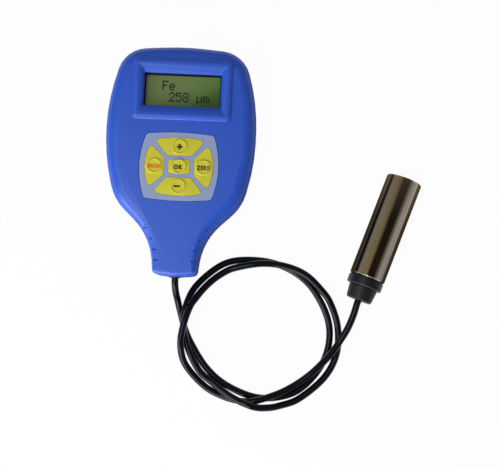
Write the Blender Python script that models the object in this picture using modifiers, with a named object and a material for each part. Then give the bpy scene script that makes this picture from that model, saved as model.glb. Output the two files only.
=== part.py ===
"""Coating thickness gauge: a hand-held case with a display and five keys, and a probe on a lead.

Lengths are in metres. The origin is on the back of the case, halfway along it: +X to the right,
+Y towards the display end, +Z out of the front. The case and the probe both lie on z = 0.
"""

import math

import bmesh
import bpy
from mathutils import Matrix, Vector

MM = 0.001
GAP = 0.3 * MM                  # clearance kept between pieces that touch on the real object
CHORD_ERROR = 0.08 * MM         # how far a facet may cut inside a true arc
HIDDEN_CHORD_ERROR = 0.3 * MM   # the same for hollows that are out of sight
KEYPAD_CHORD_ERROR = 0.12 * MM  # and for the outlines of the keys and their pad
WELD_DISTANCE = 0.001 * MM      # points closer than this are one point
CUT_MARGIN = 3.0 * MM           # how far a cutter runs past what it cuts
ROUNDING_LIMIT = 0.98           # share of a straight run that its two roundings may use up

# Case
CASE_LENGTH = 118.0 * MM
FRONT_Z = 24.0 * MM             # height of the flat front
SEAM_Z = 12.0 * MM              # height of the joint between the two case halves
WALL = 2.0 * MM
FRONT_WALL = 2.4 * MM
HEAD_SHOULDER = 6.0 * MM        # rounding of the front edge round the head
NECK_SHOULDER = 4.6 * MM        # the same rounding along the neck
END_SHOULDER = 2.4 * MM         # and round the end of the neck
BACK_ROUNDING = 3.0 * MM
END_BACK_ROUNDING = 2.0 * MM
SHOULDER_STEPS = 4
HIDDEN_SHOULDER_STEPS = 2
TONGUE_SETBACK = 1.3 * MM       # the back half's tongue, measured in from the outside
TONGUE_HEIGHT = 1.2 * MM

# Outline of the case: where the tangents of its edges meet, and how far each corner is rounded
CROWN_RISE = 0.44 * MM
CROWN_RADIUS = 143.0 * MM
HEAD_CORNER_X = 30.6 * MM
HEAD_CORNER_DROP = 2.0 * MM     # below the top of the case
HEAD_CORNER_RADIUS = 15.7 * MM
SIDE_CORNER_X = 42.6 * MM
SIDE_CORNER_DROP = 41.8 * MM
SIDE_RADIUS = 107.0 * MM
HIP_CORNER_X = 32.6 * MM
HIP_CORNER_RISE = 8.0 * MM      # above the low edge of the main board
HIP_RADIUS = 24.9 * MM
NECK_CORNER_X = 13.3 * MM
NECK_CORNER_DROP = 18.3 * MM    # below the hip corner
NECK_RADIUS = 33.0 * MM
END_CORNER_X = 10.9 * MM
END_CORNER_RISE = 0.9 * MM
END_CORNER_RADIUS = 2.5 * MM
END_BULGE = 0.3 * MM
END_RADIUS = 30.0 * MM

# Grip notches in the shoulders of the neck
NOTCH_COUNT = 4
NOTCH_PITCH = 5.4 * MM
NOTCH_FIRST_RISE = 23.6 * MM    # the highest notch, above the end of the neck
NOTCH_INSET = 2.4 * MM          # centre of a notch, in from the edge of the case
NOTCH_RADIUS = 1.25 * MM
NOTCH_DEPTH = 0.8 * MM
NOTCH_WIDTH = 0.85 * MM

# Display and its raised frame
DISPLAY_DROP = 23.4 * MM        # middle of the display, below the top of the case
VIEW_WIDTH = 38.0 * MM          # viewing area of the display module
VIEW_HEIGHT = 16.0 * MM
OPENING_MARGIN = 0.6 * MM       # case opening past the viewing area, each side
BEZEL_WIDTH = 50.6 * MM
BEZEL_HEIGHT = 31.7 * MM
BEZEL_RISE = 1.2 * MM
BEZEL_CORNER = 2.6 * MM
BEZEL_ROUNDING = 2.1 * MM
CHAMFER_SIDE = 1.5 * MM
CHAMFER_END = 2.7 * MM
CHAMFER_DEPTH = 1.8 * MM
THROAT_CORNER = 0.5 * MM
MOUTH_CORNER = 0.8 * MM
WINDOW_THICKNESS = 0.6 * MM
WINDOW_CORNER = 1.0 * MM
WINDOW_LAP = 2.2 * MM           # how far the clear window runs under the case round the opening
GLASS_WIDTH = 41.6 * MM
GLASS_HEIGHT = 22.0 * MM
GLASS_THICKNESS = 2.2 * MM
GLASS_CORNER = 0.4 * MM
FRAME_SKIRT = 1.2 * MM          # the metal frame past the glass, each side
FRAME_LIP = 0.5 * MM
FRAME_LAP_SIDE = 1.8 * MM       # how far the metal frame runs in over the glass
FRAME_LAP_END = 3.0 * MM
FRAME_CORNER = 0.8 * MM
DISPLAY_BOARD_SIDE = 6.2 * MM   # display board past the glass, each side
DISPLAY_BOARD_HEIGHT = 27.0 * MM
DISPLAY_BOARD_CORNER = 1.0 * MM
DISPLAY_POST_INSET = 2.3 * MM

# Keypad
PAD_CORNER_X = 17.1 * MM        # where the tangents of the pad's bulged sides meet
PAD_CORNER_Y = 16.4 * MM
PAD_SIDE_PEAK = 22.2 * MM
PAD_SIDE_RADIUS = 46.0 * MM
PAD_END_PEAK = 18.2 * MM
PAD_END_RADIUS = 125.0 * MM
PAD_CORNER_RADIUS = 1.8 * MM
PAD_RECESS = 1.0 * MM
PAD_THICKNESS = 0.55 * MM
KEY_PROUD = 0.10 * MM           # key faces above the pad
KEY_THICKNESS = 0.95 * MM
KEY_TRAVEL = 0.4 * MM
KEY_SIDE_GAP = 0.15 * MM
KEY_CORNER = 1.3 * MM
MIDDLE_KEY_WIDTH = 10.9 * MM
MIDDLE_KEY_HEIGHT = 7.2 * MM
END_KEY_INNER_Y = 5.5 * MM
END_KEY_INNER_X = 6.2 * MM
END_KEY_OUTER_X = 12.7 * MM
END_KEY_OUTER_Y = 13.4 * MM
END_KEY_PEAK_Y = 16.0 * MM
END_KEY_PEAK_RADIUS = 48.0 * MM
SIDE_KEY_INNER_X = 7.6 * MM
SIDE_KEY_INNER_Y = 4.3 * MM
SIDE_KEY_OUTER_X = 14.8 * MM
SIDE_KEY_OUTER_Y = 11.2 * MM
SIDE_KEY_PEAK_X = 19.0 * MM
SIDE_KEY_PEAK_RADIUS = 24.0 * MM
END_KEY_CENTRE = 10.1 * MM      # press point of the plus and minus keys, from the pad's centre
SIDE_KEY_CENTRE = 12.4 * MM
PILLOW_RADIUS = 4.2 * MM        # round embossed ring on each key
PILLOW_CREST = 3.5 * MM
PILLOW_HEIGHT = 0.45 * MM
PILLOW_DISH = 0.15 * MM
STEM_RADIUS = 1.5 * MM
STEM_HOLE_GAP = 0.3 * MM

# Circuit boards and what is on them
BOARD_THICKNESS = 1.6 * MM
BOARD_TOP = 16.8 * MM
MAIN_BOARD_WIDTH = 40.0 * MM
MAIN_BOARD_TOP_REACH = 25.0 * MM      # from the pad's centre
MAIN_BOARD_LOW_REACH = 25.0 * MM
MAIN_BOARD_CORNER = 1.5 * MM
BOARD_SPACING = 1.0 * MM        # between the edges of the two boards
MAIN_POST_INSET = 3.0 * MM
POST_RADIUS = 2.1 * MM
SWITCH_SIZE = 6.0 * MM
SWITCH_HEIGHT = 2.5 * MM
PLUNGER_RADIUS = 1.6 * MM
PLUNGER_SEAT = 0.8 * MM         # how deep the resting plunger sits in the switch
CHIP_SIZE = 9.0 * MM
CHIP_HEIGHT = 1.4 * MM
AMPLIFIER_WIDTH = 4.0 * MM
AMPLIFIER_LENGTH = 5.0 * MM
BUZZER_RADIUS = 4.5 * MM
BUZZER_HEIGHT = 2.6 * MM
BUZZER_HOLE_RADIUS = 1.0 * MM
HEADER_WIDTH = 20.0 * MM
HEADER_REACH = 1.6 * MM
HEADER_HEIGHT = 0.55 * MM
HEADER_LIP = 1.6 * MM

# Screws
CASE_SCREW_HEAD_RADIUS = 2.3 * MM
CASE_SCREW_HEAD_HEIGHT = 1.6 * MM
CASE_SCREW_RADIUS = 1.1 * MM
CASE_SCREW_SINK = 5.0 * MM      # depth of the counterbore from the back
CASE_SCREW_LENGTH = 15.0 * MM
CASE_BOSS_RADIUS = 2.5 * MM
BACK_POST_RADIUS = 4.0 * MM
HEAD_SCREW_X = 21.0 * MM
HEAD_SCREW_DROP = 6.8 * MM      # below the top of the case
NECK_SCREW_X = 9.3 * MM
NECK_SCREW_RISE = 17.0 * MM     # above the end of the neck
SMALL_SCREW_HEAD_RADIUS = 1.8 * MM
SMALL_SCREW_HEAD_HEIGHT = 1.1 * MM
SMALL_SCREW_RADIUS = 0.9 * MM
SMALL_SCREW_LENGTH = 5.0 * MM
RECESS_SHARE = 0.5              # depth of a drive recess as part of the head
PIN_RADIUS = 1.0 * MM

# Batteries, their compartment and its door
CELL_RADIUS = 5.25 * MM
CELL_LENGTH = 43.7 * MM
CELL_BUTTON_RADIUS = 1.9 * MM
CELL_BUTTON_HEIGHT = 0.8 * MM
CELL_PITCH = 11.2 * MM
CELL_SPRING_SPACE = 6.2 * MM
COMPARTMENT_DROP = 37.0 * MM    # middle of the cells, below the top of the case
COMPARTMENT_WALL = 1.5 * MM
COMPARTMENT_ROOF = 1.0 * MM
CONTACT_THICKNESS = 0.4 * MM
CONTACT_SIZE = 8.0 * MM
CELL_SPRING_WIRE = 0.4 * MM
CELL_SPRING_WIDE = 3.4 * MM
CELL_SPRING_NARROW = 1.7 * MM
CELL_SPRING_TURNS = 3.5
DOOR_THICKNESS = 1.3 * MM
DOOR_SINK = 0.3 * MM            # door face in from the back of the case
DOOR_TRAVEL = 6.0 * MM
DOOR_LAP = 1.5 * MM             # door past the compartment opening, each side
DOOR_FLOOR = 1.5 * MM           # case thickness behind the door's pocket
DOOR_CORNER = 1.5 * MM
RAIL_REACH = 1.1 * MM
RAIL_THICKNESS = 0.5 * MM
RAIL_LENGTH = 5.0 * MM
RAIL_SPACING = 14.0 * MM
RAIL_LIP = 0.8 * MM
GRIP_GROOVES = 3
GRIP_GROOVE_PITCH = 2.4 * MM
GRIP_GROOVE_RADIUS = 0.8 * MM
GRIP_GROOVE_LENGTH = 14.0 * MM
GRIP_GROOVE_DEPTH = 0.5 * MM

# Lead, its grommet and its clamp
LEAD_RADIUS = 1.8 * MM
LEAD_BORE_GAP = 0.3 * MM
LEAD_Z = 12.0 * MM              # height at which the lead leaves the neck
LEAD_INSIDE = 12.0 * MM
GROMMET_RADIUS = 3.3 * MM
GROMMET_FLANGE_RADIUS = 4.2 * MM
GROMMET_FLANGE = 1.2 * MM
GROMMET_PROUD = 0.6 * MM
CLAMP_RISE = 8.0 * MM           # clamp bar, above the end of the neck
CLAMP_LENGTH = 16.0 * MM
CLAMP_WIDTH = 4.4 * MM
CLAMP_HEIGHT = 3.2 * MM
CLAMP_SCREW_X = 5.6 * MM
CLAMP_SCREW_LENGTH = 7.5 * MM
CLAMP_POST_RADIUS = 2.2 * MM
LEAD_STRAIGHT = 1.5 * MM        # straight run outside the grommet and the boot
ROUTE_SPACING = 9.0 * MM
ROUTE_SAMPLES = 16

# Probe: stations along its own axis, from the lead's end of the boot
PROBE_START = (94.5 * MM, -67.0 * MM)
PROBE_TURN = math.radians(19.2)      # clockwise from +Y, seen from the front
BOOT_LENGTH = 7.0 * MM
BOOT_NARROW_RADIUS = 6.7 * MM
BOOT_WIDE_RADIUS = 7.4 * MM
BOOT_SPIGOT_RADIUS = 3.6 * MM
BOOT_SPIGOT_LENGTH = 2.6 * MM
BOOT_LIP = 0.6 * MM
COLLAR_RADIUS = 9.2 * MM        # just clear of what the sleeve lies on
COLLAR_LENGTH = 5.0 * MM
COLLAR_ROUNDING = 0.5 * MM
COLLAR_PLUG_LENGTH = 6.0 * MM
SLEEVE_RADIUS = 9.3 * MM
SLEEVE_LENGTH = 54.8 * MM
SLEEVE_WALL = 1.2 * MM
SLEEVE_ROUNDING = 0.4 * MM
BUSH_LENGTH = 8.0 * MM
BUSH_SINK = 0.4 * MM
COIL_LENGTH = 16.0 * MM
COIL_FLANGE = 1.2 * MM
COIL_WINDING_STEP = 1.2 * MM
CORE_RADIUS = 2.2 * MM
CORE_GAP = 0.3 * MM
CORE_SHOULDER_RADIUS = 4.6 * MM
CORE_SHOULDER_LENGTH = 1.6 * MM
CORE_TAIL = 4.0 * MM
TIP_PROUD = 1.2 * MM
TIP_RADIUS = 1.9 * MM
TIP_DOME = 0.8 * MM
TIP_SHANK_RADIUS = 0.9 * MM
TIP_SHANK_LENGTH = 2.4 * MM
SPRING_WIRE = 0.35 * MM
SPRING_RADIUS = 3.4 * MM
SPRING_TURNS = 6.0

# Smoothness of turned pieces and coils
TURN_STEPS = 30
PILLOW_STEPS = 20
SMALL_TURN_STEPS = 14
HOLE_STEPS = 10
SCREW_STEPS = 8
COIL_POINTS_PER_TURN = 8

# Values that follow from those above
TOP_Y = CASE_LENGTH / 2
END_Y = -CASE_LENGTH / 2
DISPLAY_Y = TOP_Y - DISPLAY_DROP
DISPLAY_BOARD_WIDTH = GLASS_WIDTH + 2 * DISPLAY_BOARD_SIDE
DISPLAY_BOARD_LOW_Y = DISPLAY_Y - DISPLAY_BOARD_HEIGHT / 2
MAIN_BOARD_TOP_Y = DISPLAY_BOARD_LOW_Y - BOARD_SPACING
KEYPAD_Y = MAIN_BOARD_TOP_Y - MAIN_BOARD_TOP_REACH
MAIN_BOARD_LOW_Y = KEYPAD_Y - MAIN_BOARD_LOW_REACH
HIP_CORNER_Y = MAIN_BOARD_LOW_Y + HIP_CORNER_RISE
NECK_CORNER_Y = HIP_CORNER_Y - NECK_CORNER_DROP
COMPARTMENT_Y = TOP_Y - COMPARTMENT_DROP
INNER_FRONT_Z = FRONT_Z - FRONT_WALL
PAD_FLOOR_Z = FRONT_Z - PAD_RECESS
PAD_TOP_Z = PAD_FLOOR_Z + GAP + PAD_THICKNESS
KEY_TOP_Z = PAD_TOP_Z + KEY_PROUD
KEY_BOTTOM_Z = KEY_TOP_Z - KEY_THICKNESS
POCKET_FLOOR_Z = KEY_BOTTOM_Z - KEY_TRAVEL - GAP
SWITCH_BOTTOM_Z = BOARD_TOP + GAP
SWITCH_TOP_Z = SWITCH_BOTTOM_Z + SWITCH_HEIGHT
PLUNGER_BOTTOM_Z = SWITCH_TOP_Z - PLUNGER_SEAT
SWITCH_WELL_Z = PLUNGER_BOTTOM_Z - KEY_TRAVEL - GAP
PLUNGER_TOP_Z = PLUNGER_BOTTOM_Z + PLUNGER_SEAT + KEY_TRAVEL + GAP
STEM_BOTTOM_Z = PLUNGER_TOP_Z + GAP
BOARD_BOTTOM = BOARD_TOP - BOARD_THICKNESS
FRAME_TOP_Z = INNER_FRONT_Z - 2 * GAP - WINDOW_THICKNESS
POCKET_TOP_Z = DOOR_SINK + DOOR_THICKNESS + GAP
CELL_Z = POCKET_TOP_Z + GAP + CELL_RADIUS
ROOF_Z = CELL_Z + CELL_RADIUS + GAP
COMPARTMENT_LENGTH = (CELL_LENGTH + CELL_BUTTON_HEIGHT + CELL_SPRING_SPACE
                      + CONTACT_THICKNESS + 2 * GAP)
COMPARTMENT_WIDTH = CELL_PITCH + 2 * CELL_RADIUS + 2 * GAP
BORE_RADIUS = LEAD_RADIUS + LEAD_BORE_GAP

# Middle line of the lead, from inside the neck to inside the boot, in millimetres. It is chosen
# by hand: two and a half loose turns, which pass over each other in low humps.
LEAD_ROUTE = [
    (0.1, -63.5, 11.0), (0.5, -67.0, 8.6), (1.3, -70.5, 5.4), (2.4, -75.0, 2.9), (3.7, -79.5, 1.9),
    (5.3, -84.6, 1.9), (9.3, -93.0, 1.9), (18.0, -105.4, 1.9), (29.3, -114.0, 1.9), (45.3, -119.3, 1.9),
    (61.3, -116.9, 1.9), (71.8, -109.0, 1.9), (78.8, -97.8, 1.9), (81.0, -85.5, 1.9), (78.5, -74.0, 1.9),
    (71.0, -61.5, 1.9), (62.0, -54.0, 1.9), (50.6, -49.4, 1.9), (38.4, -48.2, 1.9), (27.0, -49.8, 1.9),
    (18.0, -55.3, 1.9), (9.5, -64.4, 3.2), (5.8, -74.0, 5.6), (5.0, -84.0, 5.8), (8.2, -96.0, 5.1),
    (14.3, -106.7, 4.3), (21.4, -112.5, 4.1), (27.3, -116.7, 5.7), (33.0, -119.9, 7.6),
    (39.0, -122.2, 9.7), (44.5, -123.8, 8.5), (50.5, -124.0, 4.8), (56.5, -122.9, 2.0),
    (66.3, -118.9, 1.9), (78.9, -107.6, 1.9), (84.9, -95.0, 1.9), (85.0, -81.0, 1.9), (80.7, -68.9, 2.6),
    (75.6, -62.4, 4.8), (68.2, -55.6, 5.6), (60.5, -52.0, 5.8), (52.0, -50.2, 5.8), (45.0, -50.0, 5.8),
    (38.9, -50.8, 5.6), (32.0, -52.4, 4.7), (26.8, -54.2, 4.0), (20.3, -58.6, 4.3), (15.0, -63.8, 5.2),
    (11.0, -69.2, 7.2), (8.0, -74.2, 9.0), (5.2, -83.8, 9.9), (4.2, -94.0, 8.5), (7.0, -104.0, 3.5),
    (16.9, -114.3, 1.9), (26.6, -119.2, 1.9), (34.4, -121.1, 2.9), (38.0, -121.4, 4.1),
    (41.5, -121.0, 5.8), (46.0, -120.0, 6.1), (55.0, -116.7, 5.6), (62.0, -113.0, 5.2),
    (67.5, -109.2, 5.4), (72.3, -105.2, 5.8), (77.0, -100.4, 5.9), (81.9, -94.8, 5.9), (86.0, -88.5, 6.0),
    (89.6, -82.0, 7.2), (92.2, -75.0, 8.8),
]


# Outlines

def corner_frame(corners, index):
    """Unit vectors from one corner towards the corner before and the corner after."""
    here = Vector(corners[index][:2])
    before = Vector(corners[index - 1][:2])
    after = Vector(corners[(index + 1) % len(corners)][:2])
    return here, (before - here).normalized(), (after - here).normalized()


def fitted_radii(corners):
    """Each corner's radius, made smaller where two roundings would meet on one run."""
    reaches, runs = [], []
    for index, corner in enumerate(corners):
        here, back, ahead = corner_frame(corners, index)
        reaches.append(corner[2] / math.tan(back.angle(ahead) / 2))
        runs.append((Vector(corners[(index + 1) % len(corners)][:2]) - here).length)
    shares = [min(1.0, ROUNDING_LIMIT * run / (reach + following))
              for run, reach, following in zip(runs, reaches, reaches[1:] + reaches[:1])]
    return [corner[2] * min(shares[index - 1], shares[index]) for index, corner in enumerate(corners)]


def arc_counts(corners, chord_error=CHORD_ERROR):
    """How many facets each rounded corner needs for the allowed chord error."""
    counts = []
    for index, radius in enumerate(fitted_radii(corners)):
        here, back, ahead = corner_frame(corners, index)
        turn = math.pi - back.angle(ahead)
        facet = 2 * math.acos(1 - chord_error / max(radius, chord_error))
        counts.append(max(1, math.ceil(turn / facet)))
    return counts


def rounded_outline(corners, counts=None):
    """Points round an outline of straight runs, each corner (x, y, radius) rounded by an arc."""
    counts = counts or arc_counts(corners)
    outline = []
    for index, radius in enumerate(fitted_radii(corners)):
        here, back, ahead = corner_frame(corners, index)
        half = back.angle(ahead) / 2
        middle = (back + ahead).normalized()
        centre = here + middle * (radius / math.sin(half))
        start = here + back * (radius / math.tan(half)) - centre
        turn = math.pi - 2 * half
        if back.cross(ahead) > 0:
            turn = -turn
        for step in range(counts[index] + 1):
            angle = turn * step / counts[index]
            arm = Matrix.Rotation(angle, 2) @ start
            outline.append((centre + arm, index))
    return outline


def inset_corners(corners, depth):
    """The same outline moved inwards (or outwards, if negative), by one depth or one per corner."""
    depths = depth if isinstance(depth, (list, tuple)) else [depth] * len(corners)
    moved = []
    for index, corner in enumerate(corners):
        here, back, ahead = corner_frame(corners, index)
        inward_before = Vector((back.y, -back.x))
        inward_after = Vector((-ahead.y, ahead.x))
        step = (inward_before + inward_after) / (1 + inward_before.dot(inward_after))
        place = here + step * depths[index]
        hollow = back.cross(ahead) > 0
        radius = corner[2] + depths[index] * (1 if hollow else -1)
        moved.append((place.x, place.y, max(radius, 0.3 * MM)))
    return moved


def rectangle(centre_x, centre_y, width, height, radius):
    """Corners of a rounded rectangle, anticlockwise."""
    x, y = width / 2, height / 2
    return [(centre_x + x, centre_y - y, radius), (centre_x + x, centre_y + y, radius),
            (centre_x - x, centre_y + y, radius), (centre_x - x, centre_y - y, radius)]


def case_corners():
    """The case seen from the front, anticlockwise from the crown, and each corner's shoulder."""
    left = [(HEAD_CORNER_X, TOP_Y - HEAD_CORNER_DROP, HEAD_CORNER_RADIUS),
            (SIDE_CORNER_X, TOP_Y - SIDE_CORNER_DROP, SIDE_RADIUS),
            (HIP_CORNER_X, HIP_CORNER_Y, HIP_RADIUS),
            (NECK_CORNER_X, NECK_CORNER_Y, NECK_RADIUS),
            (END_CORNER_X, END_Y + END_CORNER_RISE, END_CORNER_RADIUS)]
    crown = [(0.0, TOP_Y + CROWN_RISE, CROWN_RADIUS)]
    end = [(0.0, END_Y - END_BULGE, END_RADIUS)]
    return crown + [(-x, y, r) for x, y, r in left] + end + left[::-1]


def case_shoulders(head, neck, end):
    """One rounding for each corner of the case, shrinking down the neck."""
    half = [head, head, head, neck, end]
    return [head] + half + [end] + half[::-1]


def half_width(y):
    """Distance from the middle of the case to its edge, at one height along it."""
    points = [point for point, _ in rounded_outline(case_corners())]
    right = sorted((p.y, p.x) for p in points if p.x > 0)
    for (low, x_low), (high, x_high) in zip(right, right[1:]):
        if low <= y <= high:
            share = (y - low) / max(high - low, WELD_DISTANCE)
            return x_low + (x_high - x_low) * share
    return right[0][1]


def pad_corners():
    """The keypad's outline: four corners with bulged sides between them."""
    x, y, r = PAD_CORNER_X, PAD_CORNER_Y, PAD_CORNER_RADIUS
    return [(x, KEYPAD_Y - y, r), (PAD_SIDE_PEAK, KEYPAD_Y, PAD_SIDE_RADIUS),
            (x, KEYPAD_Y + y, r), (0.0, KEYPAD_Y + PAD_END_PEAK, PAD_END_RADIUS),
            (-x, KEYPAD_Y + y, r), (-PAD_SIDE_PEAK, KEYPAD_Y, PAD_SIDE_RADIUS),
            (-x, KEYPAD_Y - y, r), (0.0, KEYPAD_Y - PAD_END_PEAK, PAD_END_RADIUS)]


def end_key_corners(side):
    """Plus key (side 1) or minus key (side -1)."""
    outer_y, inner_y = END_KEY_OUTER_Y, END_KEY_INNER_Y
    corners = [(END_KEY_OUTER_X, outer_y, KEY_CORNER), (0.0, END_KEY_PEAK_Y, END_KEY_PEAK_RADIUS),
               (-END_KEY_OUTER_X, outer_y, KEY_CORNER), (-END_KEY_INNER_X, inner_y, KEY_CORNER),
               (END_KEY_INNER_X, inner_y, KEY_CORNER)]
    return [(x * side, KEYPAD_Y + y * side, r) for x, y, r in corners]


def side_key_corners(side):
    """Zero key (side 1) or on/off key (side -1)."""
    corners = [(SIDE_KEY_OUTER_X, -SIDE_KEY_OUTER_Y, KEY_CORNER),
               (SIDE_KEY_PEAK_X, 0.0, SIDE_KEY_PEAK_RADIUS),
               (SIDE_KEY_OUTER_X, SIDE_KEY_OUTER_Y, KEY_CORNER),
               (SIDE_KEY_INNER_X, SIDE_KEY_INNER_Y, KEY_CORNER),
               (SIDE_KEY_INNER_X, -SIDE_KEY_INNER_Y, KEY_CORNER)]
    return [(x * side, KEYPAD_Y + y * side, r) for x, y, r in corners]


def key_table():
    """Each key's name, outline and press point."""
    middle = rectangle(0.0, KEYPAD_Y, MIDDLE_KEY_WIDTH, MIDDLE_KEY_HEIGHT, KEY_CORNER)
    return [("plus", end_key_corners(1), (0.0, KEYPAD_Y + END_KEY_CENTRE)),
            ("minus", end_key_corners(-1), (0.0, KEYPAD_Y - END_KEY_CENTRE)),
            ("power", side_key_corners(-1), (-SIDE_KEY_CENTRE, KEYPAD_Y)),
            ("zero", side_key_corners(1), (SIDE_KEY_CENTRE, KEYPAD_Y)),
            ("middle", middle, (0.0, KEYPAD_Y))]


# Scene and objects

def clear_scene():
    for old in list(bpy.data.objects):
        bpy.data.objects.remove(old, do_unlink=True)
    for old in list(bpy.data.collections):
        bpy.data.collections.remove(old)


def new_collection(name):
    collection = bpy.data.collections.new(name)
    bpy.context.scene.collection.children.link(collection)
    return collection


def material(name, colour, roughness, metallic=0.0):
    made = bpy.data.materials.new(name)
    made.use_nodes = True
    shader = made.node_tree.nodes["Principled BSDF"]
    shader.inputs["Base Color"].default_value = (*colour, 1.0)
    shader.inputs["Roughness"].default_value = roughness
    shader.inputs["Metallic"].default_value = metallic
    return made


def finish_mesh(name, mesh, finish=None):
    """Wrap a mesh as a named part, or as a wire-drawn cutter if it has no material."""
    mesh.shade_smooth()
    mesh.set_sharp_from_angle(angle=math.radians(35))
    made = bpy.data.objects.new(name, mesh)
    if finish:
        mesh.materials.append(finish)
        parts.objects.link(made)
    else:
        made.hide_render = True
        made.display_type = "WIRE"
        cutters.objects.link(made)
    return made


def loft(name, stations, finish=None, chord_error=CHORD_ERROR):
    """A solid through outlines stacked from low to high: each is (corners, z or one z per corner)."""
    shape = bmesh.new()
    counts = arc_counts(stations[0][0], chord_error)
    rings = []
    for corners, level in stations:
        levels = level if isinstance(level, (list, tuple)) else [level] * len(corners)
        rings.append([shape.verts.new((point.x, point.y, levels[index]))
                      for point, index in rounded_outline(corners, counts)])
    size = len(rings[0])
    for low, high in zip(rings, rings[1:]):
        for i in range(size):
            j = (i + 1) % size
            shape.faces.new((low[i], low[j], high[j], high[i]))
    shape.faces.new(rings[0][::-1])
    shape.faces.new(rings[-1])
    bmesh.ops.remove_doubles(shape, verts=shape.verts, dist=WELD_DISTANCE)
    mesh = bpy.data.meshes.new(name)
    shape.to_mesh(mesh)
    shape.free()
    return finish_mesh(name, mesh, finish)


def plate(name, corners, low, high, finish=None, chord_error=KEYPAD_CHORD_ERROR):
    """A flat outline given a thickness, from a 2D curve."""
    curve = bpy.data.curves.new(name, "CURVE")
    curve.dimensions = "2D"
    curve.fill_mode = "BOTH"
    curve.extrude = (high - low) / 2
    spline = curve.splines.new("POLY")
    outline = [point for point, _ in rounded_outline(corners, arc_counts(corners, chord_error))]
    spline.points.add(len(outline) - 1)
    for place, point in zip(spline.points, outline):
        place.co = (point.x, point.y, 0.0, 1.0)
    spline.use_cyclic_u = True
    guide = bpy.data.objects.new(name + "_outline", curve)
    guide.location.z = (high + low) / 2
    bpy.context.scene.collection.objects.link(guide)
    solid = curve_to_mesh(guide)
    return finish_mesh(name, solid, finish)


def curve_to_mesh(guide):
    """The closed mesh of a curve object, in world places; the curve is removed."""
    graph = bpy.context.evaluated_depsgraph_get()
    graph.update()
    mesh = bpy.data.meshes.new_from_object(guide.evaluated_get(graph))
    mesh.transform(guide.matrix_world)
    shape = bmesh.new()
    shape.from_mesh(mesh)
    bmesh.ops.remove_doubles(shape, verts=shape.verts, dist=WELD_DISTANCE)
    bmesh.ops.recalc_face_normals(shape, faces=shape.faces)
    shape.to_mesh(mesh)
    shape.free()
    mesh.name = guide.name
    bpy.data.objects.remove(guide, do_unlink=True)
    return mesh


def box(name, low, high, finish=None):
    """A block between two opposite corners."""
    shape = bmesh.new()
    bmesh.ops.create_cube(shape, size=1.0)
    low, high = Vector(low), Vector(high)
    bmesh.ops.scale(shape, vec=high - low, verts=shape.verts)
    bmesh.ops.translate(shape, vec=(low + high) / 2, verts=shape.verts)
    mesh = bpy.data.meshes.new(name)
    shape.to_mesh(mesh)
    shape.free()
    return finish_mesh(name, mesh, finish)


def rod(name, start, end, radius, finish=None, steps=HOLE_STEPS):
    """A cylinder from one point to another."""
    start, end = Vector(start), Vector(end)
    along = end - start
    shape = bmesh.new()
    bmesh.ops.create_cone(shape, cap_ends=True, segments=steps, radius1=radius, radius2=radius,
                          depth=along.length)
    turn = Vector((0, 0, 1)).rotation_difference(along).to_matrix().to_4x4()
    bmesh.ops.transform(shape, matrix=Matrix.Translation((start + end) / 2) @ turn, verts=shape.verts)
    mesh = bpy.data.meshes.new(name)
    shape.to_mesh(mesh)
    shape.free()
    return finish_mesh(name, mesh, finish)


def turned(name, profile, finish=None, place=None, steps=TURN_STEPS):
    """A turned piece: the profile (radius, height) runs down its outer side, top to bottom.

    A profile that starts and ends on the axis is left open, any other is closed into a ring.
    """
    shape = bmesh.new()
    points = [shape.verts.new((radius, 0.0, height)) for radius, height in profile]
    for first, second in zip(points, points[1:]):
        shape.edges.new((first, second))
    on_axis = profile[0][0] == 0.0 and profile[-1][0] == 0.0
    if not on_axis:
        shape.edges.new((points[-1], points[0]))
    mesh = bpy.data.meshes.new(name)
    shape.to_mesh(mesh)
    shape.free()
    made = finish_mesh(name, mesh, finish)
    screw = made.modifiers.new("Turn", "SCREW")
    screw.angle = math.tau
    screw.steps = steps
    screw.render_steps = steps
    screw.use_merge_vertices = True
    screw.merge_threshold = 0.00001
    screw.use_smooth_shade = True
    if place is not None:
        made.matrix_world = place
    return made


def wire(name, points, radius, finish, sides_step=2, parent=None):
    """A wire or lead of one radius along a list of points."""
    curve = bpy.data.curves.new(name, "CURVE")
    curve.dimensions = "3D"
    curve.bevel_depth = radius
    curve.bevel_resolution = sides_step
    curve.use_fill_caps = True
    spline = curve.splines.new("POLY")
    spline.points.add(len(points) - 1)
    for place, point in zip(spline.points, points):
        place.co = (*point, 1.0)
    curve.materials.append(finish)
    made = bpy.data.objects.new(name, curve)
    parts.objects.link(made)
    made.parent = parent
    return made


def combine(target, tool, operation):
    """Cut a tool out of a part, or join it on."""
    change = target.modifiers.new(tool.name, "BOOLEAN")
    change.operation = operation
    change.solver = "EXACT"
    change.object = tool


def cut(target, *tools):
    for tool in tools:
        combine(target, tool, "DIFFERENCE")


def join(target, *tools):
    for tool in tools:
        combine(target, tool, "UNION")


# Case

def shoulder_levels(roundings, top, inner=0.0):
    """Insets and heights of the rings that round an edge, one value for each corner."""
    steps = HIDDEN_SHOULDER_STEPS if inner else SHOULDER_STEPS
    for step in range(steps + 1):
        angle = math.pi / 2 * step / steps
        insets = [inner + r * (1 - math.cos(angle)) for r in roundings]
        heights = [top - r * (1 - math.sin(angle)) for r in roundings]
        yield insets, heights


def front_shell(name, finish, inner, low, top, roundings):
    """The rounded front body of the case, or with an inner setback its cavity."""
    corners = case_corners()
    stations = [(inset_corners(corners, inner), low)]
    for insets, heights in shoulder_levels(roundings, top, inner):
        stations.append((inset_corners(corners, insets), heights))
    return loft(name, stations, finish, HIDDEN_CHORD_ERROR if inner else CHORD_ERROR)


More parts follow.
